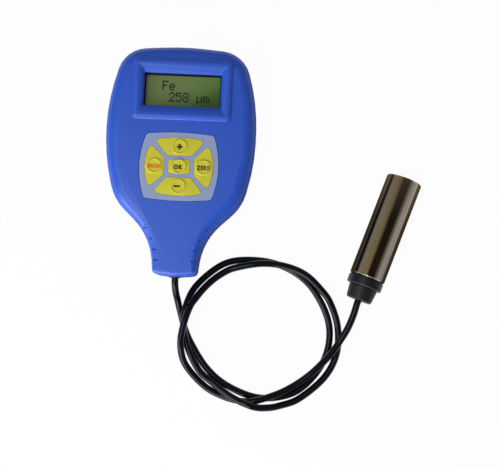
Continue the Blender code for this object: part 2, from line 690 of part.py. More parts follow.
def back_shell(name, finish, inner, low, top, roundings):
    """The rounded back body of the case, or its cavity."""
    corners = case_corners()
    stations = []
    for insets, heights in shoulder_levels(roundings, 0.0, inner):
        stations.insert(0, (inset_corners(corners, insets), [low - height for height in heights]))
    stations.append((inset_corners(corners, inner), top))
    return loft(name, stations, finish, HIDDEN_CHORD_ERROR if inner else CHORD_ERROR)


def case_screw_places():
    head_y = TOP_Y - HEAD_SCREW_DROP
    neck_y = END_Y + NECK_SCREW_RISE
    return [(HEAD_SCREW_X, head_y), (-HEAD_SCREW_X, head_y), (NECK_SCREW_X, neck_y), (-NECK_SCREW_X, neck_y)]


def display_post_places():
    x = DISPLAY_BOARD_WIDTH / 2 - DISPLAY_POST_INSET
    y = DISPLAY_BOARD_HEIGHT / 2 - DISPLAY_POST_INSET
    return [(x, DISPLAY_Y + y), (-x, DISPLAY_Y + y), (-x, DISPLAY_Y - y), (x, DISPLAY_Y - y)]


def main_post_places():
    x = MAIN_BOARD_WIDTH / 2 - MAIN_POST_INSET
    low = MAIN_BOARD_LOW_Y + MAIN_POST_INSET
    high = MAIN_BOARD_TOP_Y - MAIN_POST_INSET
    return [(x, low), (-x, low), (-x, high), (x, high)]


def screwed_posts():
    """Board posts that take a screw: the first two of each board. The others end in a pin."""
    return display_post_places()[:2] + main_post_places()[:2]


def pinned_posts():
    return display_post_places()[2:] + main_post_places()[2:]


def lead_hole(name):
    """The hole through the end wall that both case halves share for the grommet."""
    return rod(name, (0, END_Y - CUT_MARGIN, LEAD_Z), (0, END_Y + WALL + CUT_MARGIN, LEAD_Z),
               GROMMET_RADIUS + GAP, steps=SMALL_TURN_STEPS)


def notch_cutters():
    """Slot-mill shaped notches across the shoulders of the neck."""
    made = []
    for count in range(NOTCH_COUNT):
        y = END_Y + NOTCH_FIRST_RISE - count * NOTCH_PITCH
        lean = math.asin((NECK_SHOULDER - NOTCH_INSET) / NECK_SHOULDER)
        reach = NOTCH_RADIUS - NOTCH_DEPTH
        x = half_width(y) - NECK_SHOULDER + (NECK_SHOULDER + reach) * math.sin(lean)
        z = FRONT_Z - NECK_SHOULDER + (NECK_SHOULDER + reach) * math.cos(lean)
        for side in (-1, 1):
            made.append(rod(f"notch_cut_{count}_{'left' if side < 0 else 'right'}",
                            (side * x, y - NOTCH_WIDTH / 2, z), (side * x, y + NOTCH_WIDTH / 2, z),
                            NOTCH_RADIUS))
    return made


def bezel_block():
    """The raised frame round the display, with a rounded outer edge, sunk a little into the front."""
    foot = rectangle(0.0, DISPLAY_Y, BEZEL_WIDTH, BEZEL_HEIGHT, BEZEL_CORNER)
    stations = [(foot, FRONT_Z - FRONT_WALL / 2)]
    steps = 4
    for step in range(steps + 1):
        angle = math.pi / 2 * step / steps
        stations.append((inset_corners(foot, BEZEL_ROUNDING * (1 - math.cos(angle))),
                         FRONT_Z + 0.1 * MM + (BEZEL_RISE - 0.1 * MM) * math.sin(angle)))
    return loft("bezel_block", stations)


def display_opening():
    """The chamfered opening over the display."""
    width = VIEW_WIDTH + 2 * OPENING_MARGIN
    height = VIEW_HEIGHT + 2 * OPENING_MARGIN
    bezel_top = FRONT_Z + BEZEL_RISE
    throat = rectangle(0.0, DISPLAY_Y, width, height, THROAT_CORNER)
    mouth = rectangle(0.0, DISPLAY_Y, width + 2 * CHAMFER_SIDE, height + 2 * CHAMFER_END, MOUTH_CORNER)
    slope = 1 + CUT_MARGIN / CHAMFER_DEPTH
    far = rectangle(0.0, DISPLAY_Y, width + 2 * CHAMFER_SIDE * slope, height + 2 * CHAMFER_END * slope,
                    MOUTH_CORNER)
    return loft("display_opening", [(throat, INNER_FRONT_Z - CUT_MARGIN), (throat, bezel_top - CHAMFER_DEPTH),
                                    (mouth, bezel_top), (far, bezel_top + CUT_MARGIN)])


def key_cutters():
    """The clear space round each key, from its pocket floor up through the overlay."""
    made = []
    high = FRONT_Z + CUT_MARGIN
    for key, corners, (x, y) in key_table():
        made.append(plate(f"key_space_{key}", inset_corners(corners, -KEY_SIDE_GAP), POCKET_FLOOR_Z, high))
        if key == "middle":
            made.append(rod("key_space_middle_round", (x, y, POCKET_FLOOR_Z), (x, y, high),
                            PILLOW_RADIUS + KEY_SIDE_GAP, steps=PILLOW_STEPS))
    return made


def make_front_case(finish, key_spaces):
    case = front_shell("front_case", finish, 0.0, SEAM_Z + GAP / 2, FRONT_Z,
                       case_shoulders(HEAD_SHOULDER, NECK_SHOULDER, END_SHOULDER))
    cavity = front_shell("front_cavity", None, WALL, SEAM_Z - CUT_MARGIN, INNER_FRONT_Z,
                         case_shoulders(HEAD_SHOULDER - WALL, NECK_SHOULDER - WALL, END_SHOULDER - WALL))
    rebate = loft("front_rebate", [(inset_corners(case_corners(), TONGUE_SETBACK - GAP), level)
                                   for level in (SEAM_Z - CUT_MARGIN, SEAM_Z + TONGUE_HEIGHT + GAP)],
                  chord_error=HIDDEN_CHORD_ERROR)
    recess = plate("keypad_recess", inset_corners(pad_corners(), -GAP), PAD_FLOOR_Z, FRONT_Z + CUT_MARGIN)
    join(case, bezel_block())
    cut(case, cavity, rebate, display_opening(), recess, *key_spaces, *notch_cutters())
    for index, (x, y) in enumerate(case_screw_places()):
        boss = rod(f"case_boss_{index}", (x, y, SEAM_Z + GAP / 2), (x, y, INNER_FRONT_Z + WALL / 2),
                   CASE_BOSS_RADIUS)
        bore_top = CASE_SCREW_SINK + CASE_SCREW_LENGTH + GAP
        bore = rod(f"case_boss_bore_{index}", (x, y, SEAM_Z - CUT_MARGIN), (x, y, bore_top),
                   CASE_SCREW_RADIUS + GAP)
        join(case, boss)
        cut(case, bore)
    for index, (x, y) in enumerate(screwed_posts() + pinned_posts()):
        post = rod(f"board_post_{index}", (x, y, BOARD_TOP + GAP), (x, y, INNER_FRONT_Z + WALL / 2),
                   POST_RADIUS)
        join(case, post)
    for index, (x, y) in enumerate(screwed_posts()):
        cut(case, rod(f"board_post_bore_{index}", (x, y, BOARD_TOP - CUT_MARGIN),
                      (x, y, BOARD_BOTTOM - GAP + SMALL_SCREW_LENGTH + GAP), SMALL_SCREW_RADIUS + GAP))
    for index, (x, y) in enumerate(pinned_posts()):
        join(case, rod(f"board_pin_{index}", (x, y, BOARD_BOTTOM), (x, y, BOARD_TOP + POST_RADIUS),
                       PIN_RADIUS, steps=SCREW_STEPS))
    for key, _, (x, y) in key_table():
        cut(case, rod(f"stem_hole_{key}", (x, y, INNER_FRONT_Z - CUT_MARGIN), (x, y, FRONT_Z),
                      STEM_RADIUS + STEM_HOLE_GAP))
    cut(case, lead_hole("front_lead_hole"))
    return case


def compartment_span():
    """Low and high corners of the space that holds the cells."""
    x, y = COMPARTMENT_LENGTH / 2, COMPARTMENT_WIDTH / 2
    return (-x, COMPARTMENT_Y - y), (x, COMPARTMENT_Y + y)


def rail_places():
    """Middle of each door rail, along the case."""
    return (COMPARTMENT_Y - RAIL_SPACING / 2, COMPARTMENT_Y + RAIL_SPACING / 2)


def make_back_case(finish):
    (x_low, y_low), (x_high, y_high) = compartment_span()
    case = back_shell("back_case", finish, 0.0, 0.0, SEAM_Z - GAP / 2,
                      case_shoulders(BACK_ROUNDING, BACK_ROUNDING, END_BACK_ROUNDING))
    tongue = loft("back_tongue", [(inset_corners(case_corners(), TONGUE_SETBACK), level)
                                  for level in (SEAM_Z - WALL, SEAM_Z + TONGUE_HEIGHT)],
                  chord_error=HIDDEN_CHORD_ERROR)
    cavity = back_shell("back_cavity", None, WALL, WALL, SEAM_Z + CUT_MARGIN,
                        case_shoulders(BACK_ROUNDING - WALL, BACK_ROUNDING - WALL, END_BACK_ROUNDING / 2))
    join(case, tongue)
    cut(case, cavity)
    lap = DOOR_LAP + GAP
    rim = RAIL_REACH + GAP + COMPARTMENT_WALL
    pad_low = (x_low - lap - rim, y_low - lap - DOOR_TRAVEL - COMPARTMENT_WALL, WALL / 2)
    pad_high = (x_high + lap + rim, y_high + lap + COMPARTMENT_WALL, POCKET_TOP_Z + DOOR_FLOOR)
    shell_x, shell_y = COMPARTMENT_WALL, COMPARTMENT_WALL
    join(case, box("door_pad", pad_low, pad_high),
         box("compartment_shell", (x_low - shell_x, y_low - shell_y, WALL / 2),
             (x_high + shell_x, y_high + shell_y, ROOF_Z + COMPARTMENT_ROOF)))
    cut(case, box("compartment_space", (x_low, y_low, -CUT_MARGIN), (x_high, y_high, ROOF_Z)))
    pocket_low_y = y_low - lap - DOOR_TRAVEL
    pocket = rectangle(0.0, (pocket_low_y + y_high + lap) / 2, x_high - x_low + 2 * lap,
                       y_high + lap - pocket_low_y, DOOR_CORNER)
    cut(case, plate("door_pocket", pocket, -CUT_MARGIN, POCKET_TOP_Z))
    rail_x = x_high + lap + RAIL_REACH
    for index, y in enumerate(rail_places()):
        low_y = y - RAIL_LENGTH / 2 - GAP - DOOR_TRAVEL
        cut(case, box(f"rail_groove_{index}", (-rail_x, low_y, RAIL_LIP),
                      (rail_x, y + RAIL_LENGTH / 2 + GAP, POCKET_TOP_Z)),
            box(f"rail_entry_{index}", (-rail_x, low_y, -CUT_MARGIN),
                (rail_x, low_y + RAIL_LENGTH + 2 * GAP, RAIL_LIP + GAP)))
    for index, (x, y) in enumerate(case_screw_places()):
        join(case, rod(f"back_post_{index}", (x, y, WALL / 2), (x, y, SEAM_Z - GAP / 2), BACK_POST_RADIUS))
    for index, (x, y) in enumerate(case_screw_places()):
        cut(case, rod(f"back_post_hole_{index}", (x, y, -CUT_MARGIN), (x, y, SEAM_Z + CUT_MARGIN),
                      CASE_SCREW_RADIUS + GAP),
            rod(f"back_counterbore_{index}", (x, y, -CUT_MARGIN), (x, y, CASE_SCREW_SINK),
                CASE_SCREW_HEAD_RADIUS + GAP))
    clamp_y = END_Y + CLAMP_RISE
    for side in (-1, 1):
        label = "left" if side < 0 else "right"
        x = side * CLAMP_SCREW_X
        join(case, rod(f"clamp_post_{label}", (x, clamp_y, WALL / 2), (x, clamp_y, LEAD_Z),
                       CLAMP_POST_RADIUS))
        screw_end = LEAD_Z + GAP + CLAMP_HEIGHT - CLAMP_SCREW_LENGTH
        cut(case, rod(f"clamp_post_bore_{label}", (x, clamp_y, screw_end),
                      (x, clamp_y, LEAD_Z + CUT_MARGIN), SMALL_SCREW_RADIUS + GAP))
    cut(case, lead_hole("back_lead_hole"))
    return case


def make_battery_door(finish):
    """A sliding lid: its four side rails hook under the case, and three grooves give a thumb its grip."""
    (x_low, y_low), (x_high, y_high) = compartment_span()
    corners = rectangle(0.0, COMPARTMENT_Y, x_high - x_low + 2 * DOOR_LAP, y_high - y_low + 2 * DOOR_LAP,
                        DOOR_CORNER)
    top = DOOR_SINK + DOOR_THICKNESS
    door = plate("battery_door", corners, DOOR_SINK, top, finish)
    rail_x = x_high + DOOR_LAP + RAIL_REACH
    for index, y in enumerate(rail_places()):
        for side in (-1, 1):
            inner = side * (x_high + DOOR_LAP / 2)
            outer = side * rail_x
            join(door, box(f"door_rail_{index}_{'left' if side < 0 else 'right'}",
                           (min(inner, outer), y - RAIL_LENGTH / 2, top - RAIL_THICKNESS),
                           (max(inner, outer), y + RAIL_LENGTH / 2, top - GAP / 10)))
    for index in range(GRIP_GROOVES):
        y = y_low + (index + 1) * GRIP_GROOVE_PITCH
        z = DOOR_SINK + GRIP_GROOVE_DEPTH - GRIP_GROOVE_RADIUS
        half = GRIP_GROOVE_LENGTH / 2
        cut(door, rod(f"grip_groove_{index}", (-half, y, z), (half, y, z), GRIP_GROOVE_RADIUS))
    return door


# Display

def make_display(clear, glass, steel, board_green, plastic):
    width = VIEW_WIDTH + 2 * OPENING_MARGIN + 2 * WINDOW_LAP
    height = VIEW_HEIGHT + 2 * OPENING_MARGIN + 2 * WINDOW_LAP
    window_low = INNER_FRONT_Z - GAP - WINDOW_THICKNESS
    plate("display_window", rectangle(0.0, DISPLAY_Y, width, height, WINDOW_CORNER), window_low,
          window_low + WINDOW_THICKNESS, clear)
    glass_top = FRAME_TOP_Z - FRAME_LIP - GAP
    plate("display_glass", rectangle(0.0, DISPLAY_Y, GLASS_WIDTH, GLASS_HEIGHT, GLASS_CORNER),
          glass_top - GLASS_THICKNESS, glass_top, glass)
    frame_low = BOARD_TOP + GAP
    frame = plate("display_frame", rectangle(0.0, DISPLAY_Y, GLASS_WIDTH + 2 * FRAME_SKIRT,
                                             GLASS_HEIGHT + 2 * FRAME_SKIRT, FRAME_CORNER),
                  frame_low, FRAME_TOP_Z, steel)
    cut(frame, plate("frame_glass_space", rectangle(0.0, DISPLAY_Y, GLASS_WIDTH + 2 * GAP,
                                                    GLASS_HEIGHT + 2 * GAP, GLASS_CORNER),
                     frame_low - CUT_MARGIN, FRAME_TOP_Z - FRAME_LIP),
        plate("frame_view", rectangle(0.0, DISPLAY_Y, GLASS_WIDTH - 2 * FRAME_LAP_SIDE,
                                      GLASS_HEIGHT - 2 * FRAME_LAP_END, GLASS_CORNER),
              frame_low - CUT_MARGIN, FRAME_TOP_Z + CUT_MARGIN))
    board = plate("display_board", rectangle(0.0, DISPLAY_Y, DISPLAY_BOARD_WIDTH, DISPLAY_BOARD_HEIGHT,
                                             DISPLAY_BOARD_CORNER), BOARD_BOTTOM, BOARD_TOP, board_green)
    for index, (x, y) in enumerate(display_post_places()):
        cut(board, rod(f"display_board_hole_{index}", (x, y, BOARD_BOTTOM - CUT_MARGIN),
                       (x, y, BOARD_TOP + CUT_MARGIN), PIN_RADIUS + GAP))
    header_top = BOARD_BOTTOM - GAP
    box("board_header", (-HEADER_WIDTH / 2, MAIN_BOARD_TOP_Y - HEADER_LIP, header_top - HEADER_HEIGHT),
        (HEADER_WIDTH / 2, DISPLAY_BOARD_LOW_Y + HEADER_REACH, header_top), plastic)


# Keypad and switches

def make_overlay(finish, key_spaces):
    overlay = plate("keypad_overlay", pad_corners(), PAD_FLOOR_Z + GAP, PAD_TOP_Z, finish)
    cut(overlay, *key_spaces)
    return overlay


def make_keys(yellow, white, black):
    """Each key is a thin plate with an embossed ring and a stem that presses its switch."""
    for key, corners, (x, y) in key_table():
        made = plate(f"key_{key}", corners, KEY_BOTTOM_Z, KEY_TOP_Z, yellow)
        if key == "middle":
            join(made, rod("middle_key_disc", (x, y, KEY_BOTTOM_Z), (x, y, KEY_TOP_Z), PILLOW_RADIUS,
                           steps=PILLOW_STEPS))
        crest = KEY_TOP_Z + PILLOW_HEIGHT
        foot = PILLOW_RADIUS - 0.1 * MM
        slope = (foot - PILLOW_CREST) / 2
        pillow = [(0.0, KEY_TOP_Z + PILLOW_DISH), (PILLOW_CREST - 2 * slope, KEY_TOP_Z + PILLOW_DISH),
                  (PILLOW_CREST - slope / 2, crest - PILLOW_HEIGHT / 8), (PILLOW_CREST, crest),
                  (PILLOW_CREST + slope, crest - PILLOW_HEIGHT / 4), (foot, KEY_TOP_Z),
                  (foot, KEY_TOP_Z - KEY_THICKNESS / 2), (0.0, KEY_TOP_Z - KEY_THICKNESS / 2)]
        place = Matrix.Translation((x, y, 0.0))
        join(made, turned(f"pillow_{key}", pillow, place=place, steps=PILLOW_STEPS),
             rod(f"stem_{key}", (x, y, STEM_BOTTOM_Z), (x, y, KEY_TOP_Z - KEY_THICKNESS / 2), STEM_RADIUS,
                 steps=SCREW_STEPS))
        body = box(f"switch_{key}", (x - SWITCH_SIZE / 2, y - SWITCH_SIZE / 2, SWITCH_BOTTOM_Z),
                   (x + SWITCH_SIZE / 2, y + SWITCH_SIZE / 2, SWITCH_TOP_Z), black)
        cut(body, rod(f"switch_well_{key}", (x, y, SWITCH_WELL_Z), (x, y, SWITCH_TOP_Z + CUT_MARGIN),
                      PLUNGER_RADIUS + GAP))
        rod(f"plunger_{key}", (x, y, PLUNGER_BOTTOM_Z), (x, y, PLUNGER_TOP_Z), PLUNGER_RADIUS, white)


def make_main_board(board_green, chip_black):
    low, high = MAIN_BOARD_LOW_Y, MAIN_BOARD_TOP_Y
    board = plate("main_board", rectangle(0.0, (low + high) / 2, MAIN_BOARD_WIDTH, high - low,
                                          MAIN_BOARD_CORNER), BOARD_BOTTOM, BOARD_TOP, board_green)
    for index, (x, y) in enumerate(main_post_places()):
        cut(board, rod(f"main_board_hole_{index}", (x, y, BOARD_BOTTOM - CUT_MARGIN),
                       (x, y, BOARD_TOP + CUT_MARGIN), PIN_RADIUS + GAP))
    chip_x = SIDE_KEY_CENTRE
    chip_y = KEYPAD_Y + END_KEY_CENTRE
    chip_low = BOARD_TOP + GAP
    box("controller_chip", (-chip_x - CHIP_SIZE / 2, chip_y - CHIP_SIZE / 2, chip_low),
        (-chip_x + CHIP_SIZE / 2, chip_y + CHIP_SIZE / 2, chip_low + CHIP_HEIGHT), chip_black)
    amplifier_y = KEYPAD_Y - END_KEY_CENTRE
    box("amplifier_chip", (-chip_x - AMPLIFIER_WIDTH / 2, amplifier_y - AMPLIFIER_LENGTH / 2, chip_low),
        (-chip_x + AMPLIFIER_WIDTH / 2, amplifier_y + AMPLIFIER_LENGTH / 2, chip_low + CHIP_HEIGHT),
        chip_black)
    profile = [(BUZZER_HOLE_RADIUS, chip_low + BUZZER_HEIGHT), (BUZZER_RADIUS, chip_low + BUZZER_HEIGHT),
               (BUZZER_RADIUS, chip_low), (BUZZER_HOLE_RADIUS, chip_low)]
    turned("buzzer", profile, chip_black, Matrix.Translation((chip_x, amplifier_y, 0.0)), SMALL_TURN_STEPS)


# Batteries

def make_batteries(jacket, tin, steel):
    """Two cells side by side across the case, head to tail, each between a spring and a plate."""
    contact = COMPARTMENT_LENGTH / 2 - CONTACT_THICKNESS - GAP
    for number, side in ((1, 1), (2, -1)):
        y = COMPARTMENT_Y + side * CELL_PITCH / 2
        nose = contact - GAP
        shoulder = nose - CELL_BUTTON_HEIGHT
        tail = shoulder - CELL_LENGTH
        bead = CELL_RADIUS / 8
        profile = [(0.0, nose), (CELL_BUTTON_RADIUS, nose), (CELL_BUTTON_RADIUS, shoulder),
                   (CELL_RADIUS - bead, shoulder), (CELL_RADIUS, shoulder - bead),
                   (CELL_RADIUS, tail + bead), (CELL_RADIUS - bead, tail), (0.0, tail)]
        across = Matrix.Rotation(side * math.pi / 2, 4, "Y")
        place = Matrix.Translation((0.0, y, CELL_Z)) @ across
        turned(f"battery_{number}", profile, jacket, place, SMALL_TURN_STEPS)
        near, far = sorted((side * contact, side * (contact + CONTACT_THICKNESS)))
        half = CONTACT_SIZE / 2
        box(f"battery_plate_{number}", (near, y - half, CELL_Z - half), (far, y + half, CELL_Z + half), tin)
        spring_near = tail - GAP - CELL_SPRING_WIRE
        spring_far = -COMPARTMENT_LENGTH / 2 + GAP + CELL_SPRING_WIRE
        points = []
        count = round(CELL_SPRING_TURNS * COIL_POINTS_PER_TURN)
        for step in range(count + 1):
            share = step / count
            angle = math.tau * CELL_SPRING_TURNS * share
            radius = CELL_SPRING_WIDE + (CELL_SPRING_NARROW - CELL_SPRING_WIDE) * share
            along = spring_far + (spring_near - spring_far) * share
            points.append((side * along, y + radius * math.cos(angle), CELL_Z + radius * math.sin(angle)))
        wire(f"battery_spring_{number}", points, CELL_SPRING_WIRE, steel, sides_step=1)


# Screws

def screw_profile(head_radius, head_height, radius, length):
    """A pan-head screw along +Z: the head below z = 0, the shank above it, with a drive recess."""
    recess = head_radius / 3
    point = radius
    return [(0.0, length), (radius / 3, length), (radius, length - point), (radius, 0.0), (head_radius, 0.0),
            (head_radius, -head_height * 0.7), (head_radius * 0.85, -head_height), (recess, -head_height),
            (recess, -head_height * (1 - RECESS_SHARE)), (0.0, -head_height * (1 - RECESS_SHARE))]


def make_screws(steel):
    case_screw = screw_profile(CASE_SCREW_HEAD_RADIUS, CASE_SCREW_HEAD_HEIGHT, CASE_SCREW_RADIUS,
                               CASE_SCREW_LENGTH)
    for index, (x, y) in enumerate(case_screw_places(), start=1):
        turned(f"case_screw_{index}", case_screw, steel,
               Matrix.Translation((x, y, CASE_SCREW_SINK - GAP)), SCREW_STEPS)
    small = screw_profile(SMALL_SCREW_HEAD_RADIUS, SMALL_SCREW_HEAD_HEIGHT, SMALL_SCREW_RADIUS,
                          SMALL_SCREW_LENGTH)
    for index, (x, y) in enumerate(screwed_posts(), start=1):
        turned(f"board_screw_{index}", small, steel, Matrix.Translation((x, y, BOARD_BOTTOM - GAP)),
               SCREW_STEPS)
    clamp = screw_profile(SMALL_SCREW_HEAD_RADIUS, SMALL_SCREW_HEAD_HEIGHT, SMALL_SCREW_RADIUS,
                          CLAMP_SCREW_LENGTH)
    flip = Matrix.Rotation(math.pi, 4, "X")
    top = LEAD_Z + GAP + CLAMP_HEIGHT + GAP
    for index, side in enumerate((-1, 1), start=1):
        place = Matrix.Translation((side * CLAMP_SCREW_X, END_Y + CLAMP_RISE, top)) @ flip
        turned(f"clamp_screw_{index}", clamp, steel, place, SCREW_STEPS)


# Lead

def smooth_route(points, spacing, rest):
    """Evenly spaced points on a smooth curve through the given ones, none lower than it can rest.

    The first and last runs stay straight: there the lead is held in its grommet and its boot.
    """
    dense = []
    for before, start, end, after in zip(points, points[1:], points[2:], points[3:]):
        for step in range(ROUTE_SAMPLES):
            t = step / ROUTE_SAMPLES
            dense.append(0.5 * (2 * start + (end - before) * t
                                + (2 * before - 5 * start + 4 * end - after) * t ** 2
                                + (3 * start - before - 3 * end + after) * t ** 3))
    dense.append(points[-2])
    lengths = [(b - a).length for a, b in zip(dense, dense[1:])]
    count = max(2, round(sum(lengths) / spacing))
    step = sum(lengths) / count
    route = [dense[0]]
    walked = 0.0
    for (first, second), length in zip(zip(dense, dense[1:]), lengths):
        while len(route) < count and walked + length >= len(route) * step:
            share = (len(route) * step - walked) / length
            route.append(first.lerp(second, share))
        walked += length
    route.append(dense[-1])
    for point in route:
        point.z = max(point.z, rest)
    return [points[0]] + route + [points[-1]]


def probe_place():
    """Where the probe lies: its own +Z runs from the boot to the tip."""
    turn = Matrix.Rotation(-PROBE_TURN, 4, "Z") @ Matrix.Rotation(-math.pi / 2, 4, "X")
    return Matrix.Translation((*PROBE_START, SLEEVE_RADIUS)) @ turn


def make_lead(black, rubber):
    inner = Vector((0.0, END_Y + LEAD_INSIDE, LEAD_Z))
    outer = Vector((0.0, END_Y - LEAD_STRAIGHT, LEAD_Z))
    place = probe_place()
    points = [inner, outer] + [Vector(point) * MM for point in LEAD_ROUTE]
    points += [place @ Vector((0.0, 0.0, -LEAD_STRAIGHT)), place @ Vector((0.0, 0.0, BOOT_LENGTH / 2))]
    wire("probe_lead", smooth_route(points, ROUTE_SPACING, LEAD_RADIUS), LEAD_RADIUS, black)
    inside = WALL + GAP
    profile = [(BORE_RADIUS, inside + GROMMET_FLANGE), (GROMMET_FLANGE_RADIUS, inside + GROMMET_FLANGE),
               (GROMMET_FLANGE_RADIUS, inside), (GROMMET_RADIUS, inside),
               (GROMMET_RADIUS, -GROMMET_PROUD / 3), (GROMMET_RADIUS * 0.85, -GROMMET_PROUD),
               (BORE_RADIUS, -GROMMET_PROUD)]
    along = Matrix.Translation((0.0, END_Y, LEAD_Z)) @ Matrix.Rotation(-math.pi / 2, 4, "X")
    turned("lead_grommet", profile, rubber, along, SMALL_TURN_STEPS)


def make_clamp(plastic):
    y = END_Y + CLAMP_RISE
    low = LEAD_Z + GAP
    clamp = box("lead_clamp", (-CLAMP_LENGTH / 2, y - CLAMP_WIDTH / 2, low),
                (CLAMP_LENGTH / 2, y + CLAMP_WIDTH / 2, low + CLAMP_HEIGHT), plastic)
    cut(clamp, rod("clamp_saddle", (0, y - CLAMP_WIDTH, LEAD_Z), (0, y + CLAMP_WIDTH, LEAD_Z), BORE_RADIUS))
    for side in (-1, 1):
        x = side * CLAMP_SCREW_X
        cut(clamp, rod(f"clamp_hole_{'left' if side < 0 else 'right'}", (x, y, low - CUT_MARGIN),
                       (x, y, low + CLAMP_HEIGHT + CUT_MARGIN), SMALL_SCREW_RADIUS + GAP))


# Probe

def make_probe(chrome, dark, rubber, steel, copper, brass):
    place = probe_place()
    collar_low = BOOT_LENGTH + GAP
    collar_high = BOOT_LENGTH + COLLAR_LENGTH
    sleeve_low = collar_high + GAP
    sleeve_high = collar_high + SLEEVE_LENGTH
    bore = SLEEVE_RADIUS - SLEEVE_WALL
    plug = bore - GAP
    plug_top = collar_high + COLLAR_PLUG_LENGTH
    spigot_bore = BOOT_SPIGOT_RADIUS + GAP
    spigot_top = BOOT_LENGTH + BOOT_SPIGOT_LENGTH

    boot = [(BORE_RADIUS, spigot_top), (BOOT_SPIGOT_RADIUS, spigot_top), (BOOT_SPIGOT_RADIUS, BOOT_LENGTH),
            (BOOT_WIDE_RADIUS, BOOT_LENGTH), (BOOT_WIDE_RADIUS, BOOT_LENGTH - BOOT_LIP),
            (BOOT_NARROW_RADIUS, BOOT_LIP), (BOOT_NARROW_RADIUS - BOOT_LIP, 0.0), (BORE_RADIUS, 0.0)]
    turned("probe_boot", boot, rubber, place)

    edge = COLLAR_ROUNDING
    collar = [(BORE_RADIUS, plug_top), (plug, plug_top), (plug, collar_high),
              (COLLAR_RADIUS - edge, collar_high), (COLLAR_RADIUS, collar_high - edge),
              (COLLAR_RADIUS, collar_low + edge), (COLLAR_RADIUS - edge, collar_low),
              (spigot_bore, collar_low), (spigot_bore, spigot_top + GAP), (BORE_RADIUS, spigot_top + GAP)]
    turned("probe_collar", collar, dark, place)

    edge = SLEEVE_ROUNDING
    sleeve = [(bore, sleeve_high), (SLEEVE_RADIUS - edge, sleeve_high), (SLEEVE_RADIUS, sleeve_high - edge),
              (SLEEVE_RADIUS, sleeve_low + edge), (SLEEVE_RADIUS - edge, sleeve_low), (bore, sleeve_low)]
    turned("probe_sleeve", sleeve, chrome, place)

    core_bore = CORE_RADIUS + CORE_GAP
    bush_high = sleeve_high - BUSH_SINK
    bush_low = bush_high - BUSH_LENGTH
    bush = [(core_bore, bush_high), (plug, bush_high), (plug, bush_low), (core_bore, bush_low)]
    turned("probe_bush", bush, dark, place, PILLOW_STEPS)

    coil_high = bush_low - GAP
    coil_low = coil_high - COIL_LENGTH
    winding = plug - COIL_WINDING_STEP
    coil = [(core_bore, coil_high), (plug, coil_high), (plug, coil_high - COIL_FLANGE),
            (winding, coil_high - COIL_FLANGE), (winding, coil_low + COIL_FLANGE),
            (plug, coil_low + COIL_FLANGE), (plug, coil_low), (core_bore, coil_low)]
    turned("probe_coil", coil, copper, place, PILLOW_STEPS)

    shoulder_high = coil_low - GAP
    shoulder_low = shoulder_high - CORE_SHOULDER_LENGTH
    tip_top = sleeve_high + TIP_PROUD
    tip_low = tip_top - TIP_DOME
    core_top = tip_low - GAP
    shank_bore = TIP_SHANK_RADIUS + GAP
    shank_low = tip_low - TIP_SHANK_LENGTH
    core = [(0.0, shank_low - GAP), (shank_bore, shank_low - GAP), (shank_bore, core_top),
            (CORE_RADIUS, core_top), (CORE_RADIUS, shoulder_high), (CORE_SHOULDER_RADIUS, shoulder_high),
            (CORE_SHOULDER_RADIUS, shoulder_low), (CORE_RADIUS, shoulder_low),
            (CORE_RADIUS, shoulder_low - CORE_TAIL), (0.0, shoulder_low - CORE_TAIL)]
    turned("probe_core", core, steel, place, SMALL_TURN_STEPS)

    dome_steps = 4
    tip = []
    for step in range(dome_steps + 1):
        angle = math.pi / 2 * (1 - step / dome_steps)
        tip.append((TIP_RADIUS * math.cos(angle) if step else 0.0, tip_low + TIP_DOME * math.sin(angle)))
    tip += [(TIP_SHANK_RADIUS, tip_low), (TIP_SHANK_RADIUS, shank_low), (0.0, shank_low)]
    turned("probe_tip", tip, brass, place, SMALL_TURN_STEPS)

    spring_low = plug_top + GAP + SPRING_WIRE
    spring_high = shoulder_low - GAP - SPRING_WIRE
    count = round(SPRING_TURNS * COIL_POINTS_PER_TURN)
    points = []
    for step in range(count + 1):
        share = step / count
        angle = math.tau * SPRING_TURNS * share
        points.append(place @ Vector((SPRING_RADIUS * math.cos(angle), SPRING_RADIUS * math.sin(angle),
                                      spring_low + (spring_high - spring_low) * share)))
    wire("probe_spring", points, SPRING_WIRE, steel, sides_step=1)


def build():
    blue = material("case_blue", (0.045, 0.095, 0.42), 0.42)
    grey_blue = material("pad_grey_blue", (0.28, 0.35, 0.60), 0.5)
    yellow = material("key_yellow", (0.60, 0.55, 0.03), 0.45)
    white = material("plunger_white", (0.8, 0.8, 0.78), 0.5)
    black = material("black_plastic", (0.02, 0.02, 0.022), 0.45)
    clear = material("clear_window", (0.85, 0.9, 0.9), 0.05)
    glass = material("display_green", (0.13, 0.18, 0.045), 0.25)
    board = material("board_green", (0.03, 0.16, 0.07), 0.5)
    rubber = material("black_rubber", (0.015, 0.016, 0.02), 0.6)
    lead = material("glossy_black", (0.008, 0.008, 0.01), 0.12)
    chrome = material("chrome", (0.62, 0.56, 0.50), 0.16, 1.0)
    dark = material("dark_blue_grey", (0.018, 0.021, 0.032), 0.4)
    steel = material("steel", (0.55, 0.55, 0.56), 0.3, 1.0)
    tin = material("tinned_contact", (0.7, 0.7, 0.68), 0.3, 1.0)
    brass = material("hard_tip", (0.5, 0.5, 0.52), 0.15, 1.0)
    copper = material("copper_winding", (0.55, 0.22, 0.10), 0.4, 1.0)
    jacket = material("battery_jacket", (0.10, 0.10, 0.11), 0.35)

    key_spaces = key_cutters()
    make_front_case(blue, key_spaces)
    make_back_case(blue)
    make_battery_door(blue)
    make_display(clear, glass, steel, board, black)
    make_overlay(grey_blue, key_spaces)
    make_keys(yellow, white, black)
    make_main_board(board, black)
    make_batteries(jacket, tin, steel)
    make_screws(steel)
    make_lead(lead, rubber)
    make_clamp(black)
    make_probe(chrome, dark, rubber, steel, copper, brass)


